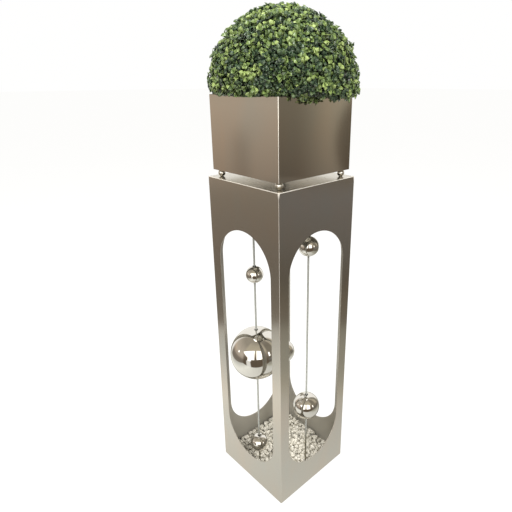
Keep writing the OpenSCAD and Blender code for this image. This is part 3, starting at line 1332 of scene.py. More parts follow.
@dataclass
class Gravel:
    """The bed of crushed marble on the base plate."""

    finish: bpy.types.Material
    pitch: float = 12.5 * MM
    jitter: float = 0.42
    loose: int = 170
    size: float = 7.7 * MM
    sizes: tuple[float, float] = (0.72, 1.18)
    slope: float = 7.5 * MM
    uneven: float = 1.6 * MM
    sunk: float = 3.4 * MM
    scatter: float = 1.1 * MM
    filler_h: float = 6 * MM
    kinds: int = 24
    cuts: int = 6
    cut_at: float = 0.68
    seed: int = 11

    def ground(self, x: Array, y: Array, half: float, top: float) -> Array:
        """The bed's height: its top, higher towards -X and uneven by a few millimetres."""
        return top - self.slope * x / half + self.uneven * waves(x, y, 60 * MM, self.seed)

    def chip_kinds(self, draw: np.random.Generator) -> tuple[Array, Array]:
        """Chips of a few kinds, about the origin and about one unit in radius.

        A ball of a few rings is made uneven, stretched and then cut by flat planes: what
        stands out past a plane is pushed back on to it.

        Args:
            draw: the source of the draws.

        Returns:
            Kinds by points by 3 places, and the faces of one chip.
        """
        rise = np.radians(np.linspace(-90, 90, 5))[:, None]
        turn = np.radians(np.linspace(0, 360, 7))[None]
        ball = sheet(around_axis(np.cos(rise), turn, np.sin(rise)))
        chip = weld(ball.build("chip", self.finish), sharp=None)
        mesh = chip.data
        points = np.empty(len(mesh.vertices) * 3)
        mesh.vertices.foreach_get("co", points)
        mesh.calc_loop_triangles()
        faces = np.empty(len(mesh.loop_triangles) * 3, dtype=np.int64)
        mesh.loop_triangles.foreach_get("vertices", faces)
        bpy.data.objects.remove(chip)
        points = points.reshape(1, -1, 3) * draw.uniform(0.85, 1.15, (self.kinds, len(points) // 3, 1))
        points = points * draw.uniform((0.95, 0.85, 0.7), (1.12, 1.0, 0.9), (self.kinds, 3))[:, None]
        planes = unit(draw.normal(size=(self.kinds, self.cuts, 3)))
        for n in range(self.cuts):
            normal = planes[:, n][:, None]
            past = np.maximum((points * normal).sum(-1, keepdims=True) - self.cut_at, 0)
            points = points - past * normal
        return points, faces.reshape(-1, 3)

    def places(self, draw: np.random.Generator, half: float, top: float, rods: Rods) -> Array:
        """Where the chips lie: a packed layer with a loose one on it, clear of the rods.

        Args:
            draw: the source of the draws.
            half: half the bed's width.
            top: the height of its top.
            rods: the rods that stand in it.

        Returns:
            The chips' middles.
        """
        steps = np.arange(-half, half, self.pitch)
        x, y = (part.ravel() for part in np.meshgrid(steps, steps))
        far = self.jitter
        x, y = (part + draw.uniform(-far, far, part.shape) * self.pitch for part in (x, y))
        z = self.ground(x, y, half, top) - self.sunk + draw.normal(0, self.scatter, x.shape)
        packed = np.stack([x, y, z], -1)
        x, y = draw.uniform(-half, half, (2, self.loose))
        z = self.ground(x, y, half, top) + draw.uniform(-1.2, 0.4, x.shape) * MM
        spots = np.concatenate([packed, np.stack([x, y, z], -1)])
        limit = half - self.size
        spots[:, :2] = np.clip(spots[:, :2], -limit, limit)
        room = rods.rod_r + self.size
        for rod in rods.spots:
            away = spots[:, :2] - rod[:2]
            distance = np.linalg.norm(away, axis=1, keepdims=True)
            pushed = rod[:2] + away / np.maximum(distance, 1e-6) * room
            spots[:, :2] = np.where(distance < room, pushed, spots[:, :2])
        return spots

    def build(self, rods: Rods) -> None:
        """Builds the chips and the packed gravel under them.

        Args:
            rods: the rods that stand in the gravel.
        """
        draw = np.random.default_rng(self.seed)
        low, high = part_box("gravel_bed")
        half, top = high.x, high.z
        kinds, faces = self.chip_kinds(draw)
        spots = self.places(draw, half, top, rods)
        count = len(spots)
        chosen = kinds[draw.integers(0, self.kinds, count)]
        chips = chosen * (self.size * draw.uniform(*self.sizes, (count, 1, 1)))
        points = np.einsum("nij,nkj->nki", random_turns(draw, count, 0.4), chips) + spots[:, None]
        points[..., :2] = np.clip(points[..., :2], -half, half)
        points[..., 2] = np.maximum(points[..., 2], low.z)
        tone = np.repeat(draw.uniform(0, 1, count), chips.shape[1])
        faces = copies(faces, count, chips.shape[1])
        shape = Shape(points.reshape(-1, 3), [faces], marks={"tone": tone})
        piece = shape.build("marble_chips", self.finish, smooth=False)
        fit(piece, Body.COLUMN.value, "gravel_bed")
        self.filler(half, low.z)

    def filler(self, half: float, foot: float) -> None:
        """Builds the packed gravel under the chips, whose top follows the ground.

        Args:
            half: half the bed's width.
            foot: the height of its foot.
        """
        inset = np.concatenate([[0], np.linspace(0, 0.97, 24)])
        height = np.full_like(inset, foot + self.filler_h)
        height[0] = foot
        rows = np.stack([half * (1 - inset), 3 * MM * (1 - inset), height], -1)
        bed = square_loft(rows, 8, capped=True)
        upper = bed.points[len(bed.points) // len(rows):]
        upper[:, 2] += 0.8 * self.ground(upper[:, 0], upper[:, 1], half, 0.0)
        bed.marks["tone"] = np.full(len(bed.points), 0.3)
        packed = weld(bed.build("packed_gravel", self.finish))
        fit(packed, Body.COLUMN.value, "gravel_bed")


def random_turns(draw: np.random.Generator, count: int, tilt: float) -> Array:
    """Random rotations, from four-part numbers of unit length.

    Args:
        draw: the source of the draws.
        count: how many there are.
        tilt: how far they tip over, from 0, which turns about the upright axis alone, to
            1, which turns any way.

    Returns:
        Count by 3 by 3 rotation matrices.
    """
    w, x, y, z = unit(draw.normal(size=(count, 4)) * (1, tilt, tilt, 1)).T
    return np.stack([
        1 - 2 * (y * y + z * z), 2 * (x * y - z * w), 2 * (x * z + y * w),
        2 * (x * y + z * w), 1 - 2 * (x * x + z * z), 2 * (y * z - x * w),
        2 * (x * z - y * w), 2 * (y * z + x * w), 1 - 2 * (x * x + y * y),
    ], -1).reshape(-1, 3, 3)


@dataclass
class Insert:
    """The lift-out liner with its soil, and the plastic frame of the dome."""

    liner_finish: bpy.types.Material
    soil_finish: bpy.types.Material
    frame_finish: bpy.types.Material
    foot_half: float = 110 * MM
    top_half: float = 127 * MM
    corner_r: float = 16 * MM
    wall: float = 2.5 * MM
    rim_w: float = 4 * MM
    rim_t: float = 3 * MM
    corner_steps: int = 12

    def __post_init__(self) -> None:
        """Reads the liner's height from the frame."""
        self.low, self.high = foot_and_top("liner")

    def half_at(self, height: Array) -> Array:
        """Half the liner's outside width at a height, which spreads evenly upwards."""
        share = (height - self.low) / (self.high - self.low)
        return self.foot_half + (self.top_half - self.foot_half) * share

    def liner(self) -> Shape:
        """The liner: out from its foot, up to its rim, over it and down to its floor inside.

        Returns:
            The closed liner.
        """
        ease = 1 * MM
        rim = self.half_at(self.high) + self.rim_w
        under = self.high - self.rim_t
        outer = [
            (self.foot_half - 3 * ease, self.low), (self.foot_half - ease, self.low + 0.6 * ease),
            (self.foot_half, self.low + 2 * ease), (self.half_at(under), under),
            (rim - ease / 2, under), (rim, under + ease / 2),
            (rim, self.high - ease), (rim - ease, self.high),
        ]
        floor = self.low + self.wall
        inner = [
            (self.half_at(self.high) - self.wall + ease, self.high),
            (self.half_at(self.high) - self.wall, self.high - ease),
            (self.half_at(floor) - self.wall, floor + 2 * ease),
            (self.half_at(floor) - self.wall - 2 * ease, floor),
        ]
        half, height = np.array(outer + inner).T
        radius = np.clip(self.corner_r + half - self.half_at(height), 6 * MM, 20 * MM)
        return square_loft(np.stack([half, radius, height], -1), self.corner_steps, capped=True)

    def soil(self) -> Shape:
        """The soil: a block that fills the liner, with an uneven top.

        Returns:
            The block.
        """
        low, high = foot_and_top("soil")
        gap = self.wall + 0.3 * MM
        radius = self.corner_r - self.wall
        inner = 1 - np.linspace(0, 0.985, 60)
        top = np.stack([(self.half_at(high) - gap) * inner, radius * inner, np.full_like(inner, high)], -1)
        rows = np.concatenate([[(self.half_at(low) - gap, radius, low)], top])
        shape = square_loft(rows, self.corner_steps, capped=True)
        upper = shape.points[2 * (len(shape.points) // len(rows)):]
        x, y = upper[:, 0], upper[:, 1]
        upper[:, 2] += (2.2 * waves(x, y, 46 * MM, 5) + waves(x, y, 12 * MM, 6) - 3) * MM
        return shape

    def build(self) -> None:
        """Builds the liner and the soil and dresses the frame and its stake."""
        liner = weld(self.liner().build("liner_tub", self.liner_finish), sharp=40)
        even_shading(liner)
        fit(liner, Body.INSERT.value, "liner")
        soil = weld(self.soil().build("soil_block", self.soil_finish), sharp=60)
        fit(soil, Body.INSERT.value, "soil")
        for node in ("plant_stake", "dome_frame"):
            dress(node, self.frame_finish)


@dataclass
class Boxwood:
    """The clipped dome: sprigs of small glossy leaves on twigs, set in the frame."""

    leaf_finish: bpy.types.Material
    twig_finish: bpy.types.Material
    sprigs: int = 1000
    pairs: int = 6
    kinds: int = 12
    parts: int = 4
    sprig_l: float = 32 * MM
    leaf_l: float = 16 * MM
    leaf_w: float = 14.5 * MM
    reach: float = 187.5 * MM
    lean: float = 5.5 * MM
    tuck: float = 10 * MM
    hem_sprigs: int = 30
    hem_half: float = 118 * MM
    hem_at: float = 101 * MM
    hem_rise: float = 7 * MM
    # Painted light: how much paler the rim's sprigs and the single ones are made.
    hem_painted_light: float = 0.1
    stray_painted_light: float = 0.2
    seed: int = 7

    # Single sprigs that hang over the right side of the rim, and one that stands out of
    # the dome: where each starts, in millimetres, and which way it points.
    strays: tuple[tuple[float, ...], ...] = (
        (137, -70, 1237, 0.6, -0.2, -0.6),
        (137, -57, 1235, 0.45, 0.2, -0.8),
        (138, -44, 1234, 0.45, -0.1, -0.85),
        (138, -31, 1234, 0.42, 0.1, -0.85),
        (137, -19, 1236, 0.6, 0.2, -0.6),
        (134, 28, 1233, 0.7, 0.1, -0.55),
        (134, 52, 1234, 0.7, -0.2, -0.5),
        (134, 78, 1233, 0.7, 0.1, -0.55),
        (134, 104, 1234, 0.7, 0.2, -0.5),
        (104, 108, 1330, 0.68, 0.7, 0.3),
    )

    def __post_init__(self) -> None:
        """Reads from the frame where the dome's middle and the planter's rim are."""
        low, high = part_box("foliage_dome")
        radius = round((high.x - low.x) / 2, 3)
        self.middle = np.array([self.lean, self.lean, high.z - radius])
        self.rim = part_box("planter_walls")[1]

    def leaf(self) -> tuple[Array, Array, Array]:
        """One leaf about its stalk: an oval lens, cupped along its rib and curled back.

        Across by u from -1 to 1 and along by v from 0 to 1, a point is away from the rib
        by u times half the leaf's width times the square root of 1 minus the size of
        2v - 1 to the power 2.4. The sides rise with u squared, and the tip bends down with
        v squared. The underside shares the edge.

        Returns:
            The points, the faces and each point's place on the leaf.
        """
        across, along = (-1.0, 0.0, 1.0), (0.0, 0.16, 0.45, 0.76, 1.0)
        u, v = np.meshgrid(across, along)
        width = np.sqrt(np.maximum(1 - np.abs(2 * v - 1) ** 2.4, 0.03))
        top = np.stack([u * width * 0.5, v, 0.27 * u * u * width - 0.3 * v * v], -1)
        top[..., 0] *= self.leaf_w / self.leaf_l
        under = top[1:-1, 1] - (0, 0, 0.05)
        points = np.concatenate([top.reshape(-1, 3), under]) * self.leaf_l
        rib = np.arange(1, len(along) - 1) * len(across) + 1
        maps = np.stack([(u + 1) / 2, v], -1).reshape(-1, 2)
        faces = grid_faces(len(along), len(across))
        belly = faces[:, ::-1].copy()
        for number, point in enumerate(rib):
            belly[belly == point] = u.size + number
        return points, np.concatenate([faces, belly]), np.concatenate([maps, maps[rib]])

    def sprig_kinds(self, draw: np.random.Generator) -> tuple[Array, Array]:
        """Sprigs of a few kinds, from the origin up Z.

        The leaves stand in pairs, each pair a quarter turn on from the last, lower ones
        wide open and large and upper ones steep and small.

        Args:
            draw: the source of the draws.

        Returns:
            Kinds by leaves by points by 3 places, and each leaf's age from 1, old, to 0.
        """
        points, _, _ = self.leaf()
        level = np.repeat(np.linspace(0.25, 1.0, self.pairs), 2)
        number = np.arange(len(level))
        shape = (self.kinds, len(level))
        spin = number // 2 * math.pi / 2 + number % 2 * math.pi + draw.normal(0, 0.28, shape)
        pitch = np.radians(15 + 38 * level**2) + draw.normal(0, 0.3, shape)
        size = (1.05 - 0.4 * level**2.2) * draw.uniform(0.88, 1.12, shape)
        roll = draw.normal(0, 0.38, shape)
        x, y, z = np.moveaxis(points[None, None] * size[..., None, None], -1, 0)
        z, x = spun(z, x, roll)
        y, z = spun(y, z, pitch)
        x, y = spun(x, y, spin)
        z = z + (level * self.sprig_l)[None, :, None]
        return np.stack([x, y, z], -1), 1 - level

    def directions(self) -> Array:
        """Where the sprigs point: even steps of height down the dome, turned by the golden angle.

        Returns:
            A direction of unit length for each sprig.
        """
        count = np.arange(self.sprigs) + 0.5
        height = 1 - count / self.sprigs * 1.07
        turn = count * math.pi * (3 - math.sqrt(5))
        return around_axis(np.sqrt(1 - height**2), turn, height)

    def frames(self, aim: Array, draw: np.random.Generator) -> Array:
        """Rotations that take Z to each aim, with a random spin about it."""
        first = unit(np.cross(aim, draw.normal(size=aim.shape)))
        return np.stack([first, np.cross(aim, first), aim], -1)

    def hem(self, draw: np.random.Generator) -> tuple[Array, Array]:
        """Where the sprigs along the rim start and where they point, which is out over each side.

        Args:
            draw: the source of the draws.

        Returns:
            The starts and the directions.
        """
        side = np.repeat(np.arange(4), self.hem_sprigs)[:, None] * math.pi / 2
        along = np.tile(np.linspace(-1, 1, self.hem_sprigs) * self.hem_half, 4)[:, None]
        out = np.concatenate([np.cos(side), np.sin(side), 0 * side], axis=1)
        across = np.concatenate([-np.sin(side), np.cos(side), 0 * side], axis=1)
        aim = out + across * draw.normal(0, 0.4, side.shape) + (0, 0, 0.1)
        start = out * self.hem_at + across * along + (0, 0, self.rim.z + self.hem_rise)
        return start, unit(aim)

    def roots(self, draw: np.random.Generator) -> tuple[Array, Array]:
        """Where the sprigs start and where they point: the dome's, the rim's and the single ones.

        The dome leans to the right. On its left, the lowest tips are tucked in.

        Args:
            draw: the source of the draws.

        Returns:
            The starts and the directions.
        """
        out = self.directions()
        right = out @ np.array([0.7, 0.7, 0.0])
        tuck = np.clip((0.07 - out[:, 2]) / 0.14, 0, 1) * np.clip((0.5 - right) / 0.6, 0, 1)
        tips = self.reach - self.tuck * tuck + draw.normal(0, 1.7 * MM, len(out))
        aim = unit(out + draw.normal(0, 0.2, out.shape))
        start = self.middle + out * tips[:, None] - aim * self.sprig_l
        hem, hem_aim = self.hem(draw)
        strays = np.array(self.strays)
        starts = np.concatenate([start, hem, strays[:, :3] * MM])
        return starts, np.concatenate([aim, hem_aim, unit(strays[:, 3:])])

    def rested(self, points: Array) -> Array:
        """The same places, lifted clear of the rim except where sprigs hang over its +X side.

        Past the walls, the lowest height falls off by the distance out.

        Args:
            points: the places.

        Returns:
            The lifted places.
        """
        hanging = points[..., 0] > self.rim.x + 2.5 * MM
        outside = np.abs(points[..., :2]).max(axis=-1) - self.rim.x
        lowest = self.rim.z + 0.6 * MM - 0.8 * np.clip(outside, 0, 5 * MM)
        points[..., 2] = np.where(hanging, points[..., 2], np.maximum(points[..., 2], lowest))
        return points

    def tones(self, age: Array, count: int, draw: np.random.Generator) -> Array:
        """Each leaf's tone, from 0, dark, to 1, pale.

        Young leaves are paler, and those of some young sprigs more so. As painted light, the
        sprigs of the rim are made paler than the dome's, and the single ones palest.

        Args:
            age: each leaf's age on its sprig, from 1, old, to 0.
            count: how many sprigs there are.
            draw: the source of the draws.

        Returns:
            Sprigs by leaves of tones.
        """
        sprig = draw.normal(0, 0.13, (count, 1))
        fresh = (draw.uniform(size=(count, 1)) < 0.3) * 0.36 * np.clip(1 - 1.6 * age, 0, 1)
        leaf = draw.normal(0, 0.17, (count, len(age)))
        tone = np.clip(0.26 + 0.2 * (1 - age) + sprig + fresh + leaf, 0, 1)
        # Painted light lifts the tone of the rim's sprigs, and lifts the single ones more.
        tone[self.sprigs:] += self.hem_painted_light
        tone[-len(self.strays):] += self.stray_painted_light
        return np.clip(tone, 0, 1)

    def build(self) -> None:
        """Builds the leaves in a few pieces, and all twigs as one."""
        draw = np.random.default_rng(self.seed)
        _, faces, maps = self.leaf()
        kinds, age = self.sprig_kinds(draw)
        start, aim = self.roots(draw)
        count, leaves, per_leaf = len(start), kinds.shape[1], kinds.shape[2]
        turns = self.frames(aim, draw)
        scale = draw.uniform(0.9, 1.12, (count, 1, 1, 1))
        chosen = kinds[draw.integers(0, self.kinds, count)] * scale
        points = self.rested(np.einsum("nij,nlkj->nlki", turns, chosen) + start[:, None, None])
        tone = self.tones(age, count, draw)
        around = np.arctan2(start[:, 1], start[:, 0])
        part = ((around + math.pi) / (2 * math.pi) * self.parts).astype(int) % self.parts
        for n in range(self.parts):
            mine = part == n
            total = int(mine.sum()) * leaves
            shape = Shape(
                points[mine].reshape(-1, 3),
                [copies(faces, total, per_leaf)],
                np.tile(maps, (total, 1)),
                {"tone": np.repeat(tone[mine].ravel(), per_leaf)},
            )
            piece = shape.build(f"boxwood_leaves_{n + 1}", self.leaf_finish)
            fit(piece, Body.INSERT.value, "foliage_dome")
        self.twigs(start, turns)

    def twigs(self, start: Array, turns: Array) -> None:
        """Builds the twigs: thin five-sided stems, narrower towards their tips.

        Args:
            start: where each sprig starts.
            turns: the rotation of each sprig.
        """
        radius = np.array([0.0, 1.0, 0.9, 0.6, 0.0])[:, None] * MM
        height = np.array([0.0, 0.0, 0.4, 0.98, 1.0])[:, None] * self.sprig_l
        grid = around_axis(radius, np.linspace(0, 2 * math.pi, 6)[:-1], height)
        rows, sides = grid.shape[:2]
        stem = grid.reshape(-1, 3)
        low, this = np.arange(rows - 1)[:, None] * sides, np.arange(sides)
        after = (this + 1) % sides
        faces = np.stack([low + this, low + after, low + sides + after, low + sides + this], -1)
        points = self.rested(np.einsum("nij,kj->nki", turns, stem) + start[:, None])
        numbers = copies(faces.reshape(-1, 4), len(start), len(stem))
        piece = Shape(points.reshape(-1, 3), [numbers]).build("boxwood_twigs", self.twig_finish)
        fit(weld(piece, sharp=None), Body.INSERT.value, "foliage_dome")


def from_camera(turn: Array) -> Array:
    """Turns in radians about the upright axis, counted from the camera's, which is -45 degrees."""
    return (turn + math.pi / 4 + math.pi) % (2 * math.pi) - math.pi


@dataclass
class Studio:
    """The pale floor, the soft light, the room that the steel mirrors, and the camera.

    The mirrored floor and room show in reflections alone. They are a strip of pale paper
    that runs from behind the planter towards the camera, in a brown room with a window
    wall behind the camera and a skylight. A white backdrop stands at the far side.
    """

    pale: Colour = (1.0, 1.0, 0.995)
    paper: Colour = (1.0, 0.99, 0.91)
    white: Colour = (1.06, 1.04, 0.99)
    shadow: Colour = (0.13, 0.1, 0.07)
    ceiling: Colour = (0.37, 0.33, 0.265)
    window: Colour = (2.2, 2.14, 2.0)
    skylight: Colour = (8.0, 8.0, 7.6)
    floor_colour: Colour = (0.86, 0.855, 0.83)
    floor_shade: float = 0.15
    floor_half: float = 60.0
    soft_light: Colour = (1.0, 0.98, 0.94)
    soft_power: float = 1.05
    lights_aim: Place = (0.0, 0.0, 0.9)
    paper_half: float = 1.08
    paper_near: float = 0.8
    paper_soft: float = 0.06
    sunlit: float = 0.8
    window_top: float = 0.92
    room_r: float = 5.0

    # The camera was found from corners and folds in the photograph.
    camera_at: Place = (0.9076, -0.8545, 1.2555)
    camera_right: Place = (0.6950, 0.7190, -0.0020)
    camera_up: Place = (-0.2452, 0.2396, 0.9394)
    lens: float = 31.43
    shift: tuple[float, float] = (-0.0602, -0.0261)

    def camera(self) -> None:
        """Makes the camera of the photograph."""
        data = bpy.data.cameras.new("camera")
        data.sensor_width = 36.0
        data.lens = self.lens
        data.shift_x, data.shift_y = self.shift
        right = Vector(self.camera_right).normalized()
        back = right.cross(Vector(self.camera_up)).normalized()
        axes = Matrix((right, back.cross(right), back)).transposed()
        camera = bpy.data.objects.new("camera", data)
        camera.matrix_world = Matrix.Translation(self.camera_at) @ axes.to_4x4()
        bpy.context.scene.collection.objects.link(camera)
        bpy.context.scene.camera = camera

    def floor(self) -> None:
        """The pale floor: most of it glows, so that shadows on it stay soft and faint."""
        shader = Shader("pale_floor")
        shader.set(Base_Color=self.floor_colour, Roughness=0.9, Specular_IOR_Level=0.0)
        blend = shader.add("ShaderNodeMixShader")
        shader.give(blend.inputs[0], self.floor_shade)
        shader.give(blend.inputs[1], shader.glow(self.pale))
        shader.give(blend.inputs[2], shader.surface.outputs[0])
        shader.show(blend.outputs[0])
        half = np.array([self.floor_half])
        ring = rounded_squares(half, half / 2, 16)[0][:-1]
        points = np.concatenate([ring, np.zeros((len(ring), 1))], axis=1)
        Shape(points, [np.arange(len(ring))[None]]).build("floor", shader.material)

    def lit(self, shape: Shape, colours: Array, name: str) -> None:
        """Makes a stage surface that shows in reflections alone.

        Args:
            shape: the surface.
            colours: the light that each of its points gives.
            name: the surface's name.
        """
        shader = Shader(name)
        light = shader.add("ShaderNodeAttribute", attribute_name="light")
        shader.show(shader.glow(light.outputs["Color"]))
        piece = shape.build(name, shader.material)
        layer = piece.data.color_attributes.new("light", "FLOAT_COLOR", "POINT")
        rgba = np.concatenate([colours, np.ones((len(colours), 1))], axis=1)
        layer.data.foreach_set("color", rgba.astype(np.float32).ravel())
        for ray in ("camera", "diffuse", "transmission", "volume_scatter", "shadow"):
            setattr(piece, f"visible_{ray}", False)

    def sides(self, turn: Array) -> Array:
        """How much of the room's left, right, near and far sides each turn holds.

        A side's share eases in and out by the cosine of the turn from the camera's.

        Args:
            turn: turns in radians about the upright axis.

        Returns:
            The four shares, in the last place.
        """
        away = from_camera(turn)
        near = eased(np.cos(away), 0.5, 0.7)
        far = eased(-np.cos(away), 0.42, 0.62)
        side = 1 - near - far
        left = np.where(away < 0, side, 0)
        return np.stack([left, side - left, near, far], -1)

    def floor_light(self, x: Array, y: Array) -> Array:
        """The mirrored floor's colour at each place.

        Inside its edges is the paper, whose brightness changes from its left to its right
        edge. Outside them the colour follows the distance from the middle, and sunlight
        falls on a strip of the near side.

        Args:
            x: places along X.
            y: places along Y.

        Returns:
            The colours.
        """
        side, near, reach = (x + y) / math.sqrt(2), (x - y) / math.sqrt(2), np.hypot(x, y)
        bright = {
            -1.06: 0.62, -0.84: 0.74, -0.68: 0.87, -0.5: 1.03, -0.18: 0.85, 0.0: 0.78, 0.1: 0.75,
            0.17: 0.74, 0.36: 0.69, 0.48: 0.63, 0.61: 0.47, 0.77: 0.385, 0.86: 0.385, 1.02: 0.33,
        }
        yellower = eased(side, 0.4, 0.6)[..., None] * (0.0, 0.02, 0.1)
        paper = np.interp(side, list(bright), list(bright.values()))[..., None] * (self.paper - yellower)
        left = tinted(reach, {
            1.0: (0.25, 0.222, 0.182), 1.5: (0.232, 0.2, 0.162), 1.9: (0.22, 0.186, 0.151),
            2.6: (0.25, 0.21, 0.17), 4.2: (0.29, 0.25, 0.2), 5.0: (0.38, 0.32, 0.26),
        })
        right = tinted(reach, {
            1.0: (0.22, 0.195, 0.16), 1.38: (0.187, 0.165, 0.126), 1.68: (0.143, 0.123, 0.096),
            2.4: (0.18, 0.165, 0.145), 4.0: (0.21, 0.2, 0.19), 5.0: (0.19, 0.165, 0.13),
        })
        turn = np.arctan2(y, x)
        strip = self.sunlit * within(np.degrees(from_camera(turn)), -39, -23, 4)[..., None]
        front = self.shadow + strip * (np.array(self.white) - self.shadow)
        room = np.stack([left, right, front, np.broadcast_to(self.white, left.shape)], -2)
        room = (self.sides(turn)[..., None] * room).sum(-2)
        half, edge = self.paper_half, self.paper_soft / 2
        share = within(side, -half, half, self.paper_soft)
        share = (share * eased(near, self.paper_near + edge, self.paper_near - edge))[..., None]
        return room * (1 - share) + paper * share

    def panes(self, away: Array, rise: Array) -> Array:
        """How much of each place is window.

        Two wide panes stand behind the camera, in a flat wall, so the rise of their top
        edge has a tangent that falls off with the cosine of the turn. The left one
        reaches the floor, and its outer edge slants outwards above 12 degrees. A small
        pane is at each side of the room.

        Args:
            away: degrees of turn from the camera.
            rise: degrees above the floor.

        Returns:
            The share of window, from 0 to 1.
        """
        wall_top = np.degrees(np.arctan(self.window_top * np.cos(np.radians(away))))
        slant = -34 - 1.9 * np.maximum(rise - 12, 0)
        panes = (
            (slant, -7, 6, wall_top),
            (3, 34, 7, wall_top),
            (slant, -20, -5, 6),
            (-84, -78, 11, 17),
            (57, 64, 9, 24),
        )
        return sum(
            within(away, start, end, 2) * within(rise, low, top, 1.5) for start, end, low, top in panes
        )

    def wall_light(self, turn: Array, rise: Array) -> Array:
        """The mirrored room's colour at each turn and rise.

        The left wall is warm and has a darker stripe at the foot of its far end. The
        right wall is paler at its far end, with a dark oval there.

        Args:
            turn: turns in radians about the upright axis.
            rise: degrees above the floor, seen from the middle.

        Returns:
            The colours: brown walls at the sides, a window wall behind the camera, white
            at the far side, and the skylight overhead.
        """
        away = np.degrees(from_camera(turn))
        left = tinted(rise, {
            0: (0.39, 0.325, 0.262), 11: (0.58, 0.505, 0.415), 30: (0.5, 0.44, 0.36), 50: self.ceiling,
        })
        warm = (eased(away, -95, -99) * eased(rise, 19, 14))[..., None] * (0.05, 0.0, -0.04)
        stripe = 0.22 * eased(np.abs(away + 95.6), 2.04, 0.34) * eased(rise, 9.5, 4.5)
        left = left * (1 + warm - stripe[..., None])
        right = tinted(rise, {
            0: (0.19, 0.164, 0.13), 11: (0.29, 0.256, 0.195), 30: (0.31, 0.275, 0.21),
            50: (0.29, 0.255, 0.2), 72: self.ceiling,
        })
        paler = 0.79 + 0.79 * eased(away, 88, 95)
        oval = eased(np.hypot((away - 99) / 4.6, (rise - 5.5) / 7.8), 1, 0.9)
        right = right * paler[..., None] * (1 - oval[..., None] * (0.6, 0.63, 0.65))
        near = tinted(rise, {
            0: self.shadow, 12: (0.2, 0.16, 0.12), 38: (0.55, 0.485, 0.37), 58: (0.49, 0.44, 0.335),
            74: self.ceiling,
        })
        far = tinted(rise, {0: self.white, 66: self.white, 78: self.ceiling})
        walls = (self.sides(turn)[..., None] * np.stack([left, right, near, far], -2)).sum(-2)
        panes = self.panes(away, rise)[..., None]
        walls = walls * (1 - panes) + np.array(self.window) * panes
        over = eased(rise, 79, 84)[..., None]
        return walls * (1 - over) + np.array(self.skylight) * over

    def room(self) -> None:
        """The mirrored room: a round floor under walls that close in a dome."""
        reach = np.geomspace(0.14, self.room_r, 120)[:, None]
        grid = around_axis(reach, np.radians(np.linspace(0, 360, 241)), 0.5 * MM)
        light = self.floor_light(grid[..., 0], grid[..., 1])
        self.lit(sheet(grid), light.reshape(-1, 3), "mirrored_floor")

        turn, rise = np.meshgrid(np.radians(np.linspace(0, 360, 1081)), np.linspace(0, 90, 181))
        dome = around_axis(np.cos(np.radians(rise)), turn, np.sin(np.radians(rise)))
        light = self.wall_light(turn, rise)
        self.lit(sheet(dome * self.room_r), light.reshape(-1, 3), "mirrored_room")

    def light(self, name: str, place: Place, size: float, power: float) -> None:
        """A square soft light that looks at the object and shows in no reflection.

        Args:
            name: the light's name.
            place: where it stands.
            size: how wide it is, in metres.
            power: its power in watts.
        """
        data = bpy.data.lights.new(name, "AREA")
        data.size = size
        data.energy = power
        lamp = bpy.data.objects.new(name, data)
        aim = Vector(self.lights_aim) - Vector(place)
        lamp.matrix_world = Matrix.Translation(place) @ aim.to_track_quat("-Z", "Y").to_matrix().to_4x4()
        lamp.visible_glossy = False
        bpy.context.scene.collection.objects.link(lamp)

    def world(self) -> None:
        """A pale backdrop for the camera, and a softer even light for everything else."""
        world = bpy.data.worlds.new("backdrop")
        world.use_nodes = True
        tree = world.node_tree
        tree.nodes.clear()
        output = tree.nodes.new("ShaderNodeOutputWorld")
        blend = tree.nodes.new("ShaderNodeMixShader")
        soft, seen = (tree.nodes.new("ShaderNodeBackground") for _ in range(2))
        soft.inputs["Color"].default_value = (*self.soft_light, 1.0)
        soft.inputs["Strength"].default_value = self.soft_power
        seen.inputs["Color"].default_value = (*self.pale, 1.0)
        path = tree.nodes.new("ShaderNodeLightPath")
        tree.links.new(path.outputs["Is Camera Ray"], blend.inputs[0])
        tree.links.new(soft.outputs[0], blend.inputs[1])
        tree.links.new(seen.outputs[0], blend.inputs[2])
        tree.links.new(blend.outputs[0], output.inputs["Surface"])
        bpy.context.scene.world = world

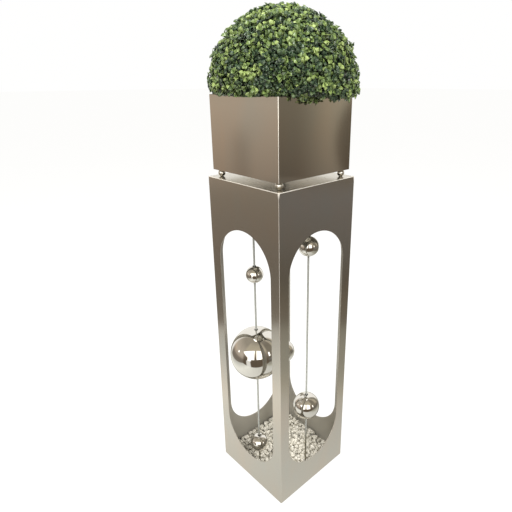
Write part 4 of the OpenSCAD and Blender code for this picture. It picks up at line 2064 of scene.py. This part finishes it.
    def build(self) -> None:
        """Builds the studio."""
        self.camera()
        self.world()
        self.floor()
        self.room()
        self.light("key", (-0.5, -2.1, 2.9), 1.5, 130)
        self.light("fill", (2.4, 0.2, 2.6), 1.5, 110)
        self.light("top", (-0.2, 0.3, 3.2), 1.4, 40)
        bpy.context.scene.view_settings.view_transform = "Standard"


def main() -> None:
    """Builds the studio and every sub-assembly."""
    logging.basicConfig(level=logging.INFO, format="%(message)s")
    Studio().build()

    # From the middle of its thickness inwards, the sheet is dull.
    inside = {node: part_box(node)[1].x - 0.8 * MM for node in ("column_front", "planter_walls")}
    brushed = BrushedSteel("brushed_stainless", inside=inside["column_front"]).build()
    brushed_box = BrushedSteel(
        "brushed_stainless_box", smooth=0.05, rough=0.08, inside=inside["planter_walls"],
    ).build()
    plate = BrushedSteel(
        "satin_stainless", pull=Pull.LEVEL, warm=(0.66, 0.615, 0.54), cool=(0.62, 0.6, 0.55),
        smooth=0.2, rough=0.28, mapped=False,
    ).build()
    polished = PolishedSteel("mirror_stainless").build()
    rod_steel = PolishedSteel(
        "drawn_rod", colour=(0.5, 0.51, 0.48), haze=(0.43, 0.44, 0.405), smooth=0.2, rough=0.32,
        metallic=0.6, darker_below=0.17,
    ).build()
    fastener = PolishedSteel(
        "bright_fastener", colour=(0.66, 0.64, 0.6), haze=(0.55, 0.53, 0.5), smooth=0.14, rough=0.26,
    ).build()
    rubber = Moulded("grommet_rubber", (0.012, 0.012, 0.012), (0.025, 0.024, 0.023), 0.5, 0.7).build()
    black = Moulded("liner_plastic", (0.014, 0.015, 0.015), (0.03, 0.03, 0.03), 0.38, 0.55).build()
    green = Moulded("frame_plastic", (0.02, 0.05, 0.015), (0.035, 0.075, 0.022), 0.4, 0.6).build()
    twig = Moulded("twig_plastic", (0.05, 0.065, 0.02), (0.09, 0.08, 0.035), 0.5, 0.7).build()

    Column(brushed, plate_finish=plate).build()
    rods = Rods(rod_steel, fastener)
    rods.build()
    Balls(polished, rubber).build()
    Gravel(Marble("crushed_marble").build()).build(rods)
    Planter(brushed_box, plate_finish=plate).build()
    Feet(polished, fastener).build()
    Insert(black, Soil("potting_soil").build(), green).build()
    Boxwood(Leaf("boxwood_leaf").build(), twig).build()


if __name__ == "__main__":
    main()
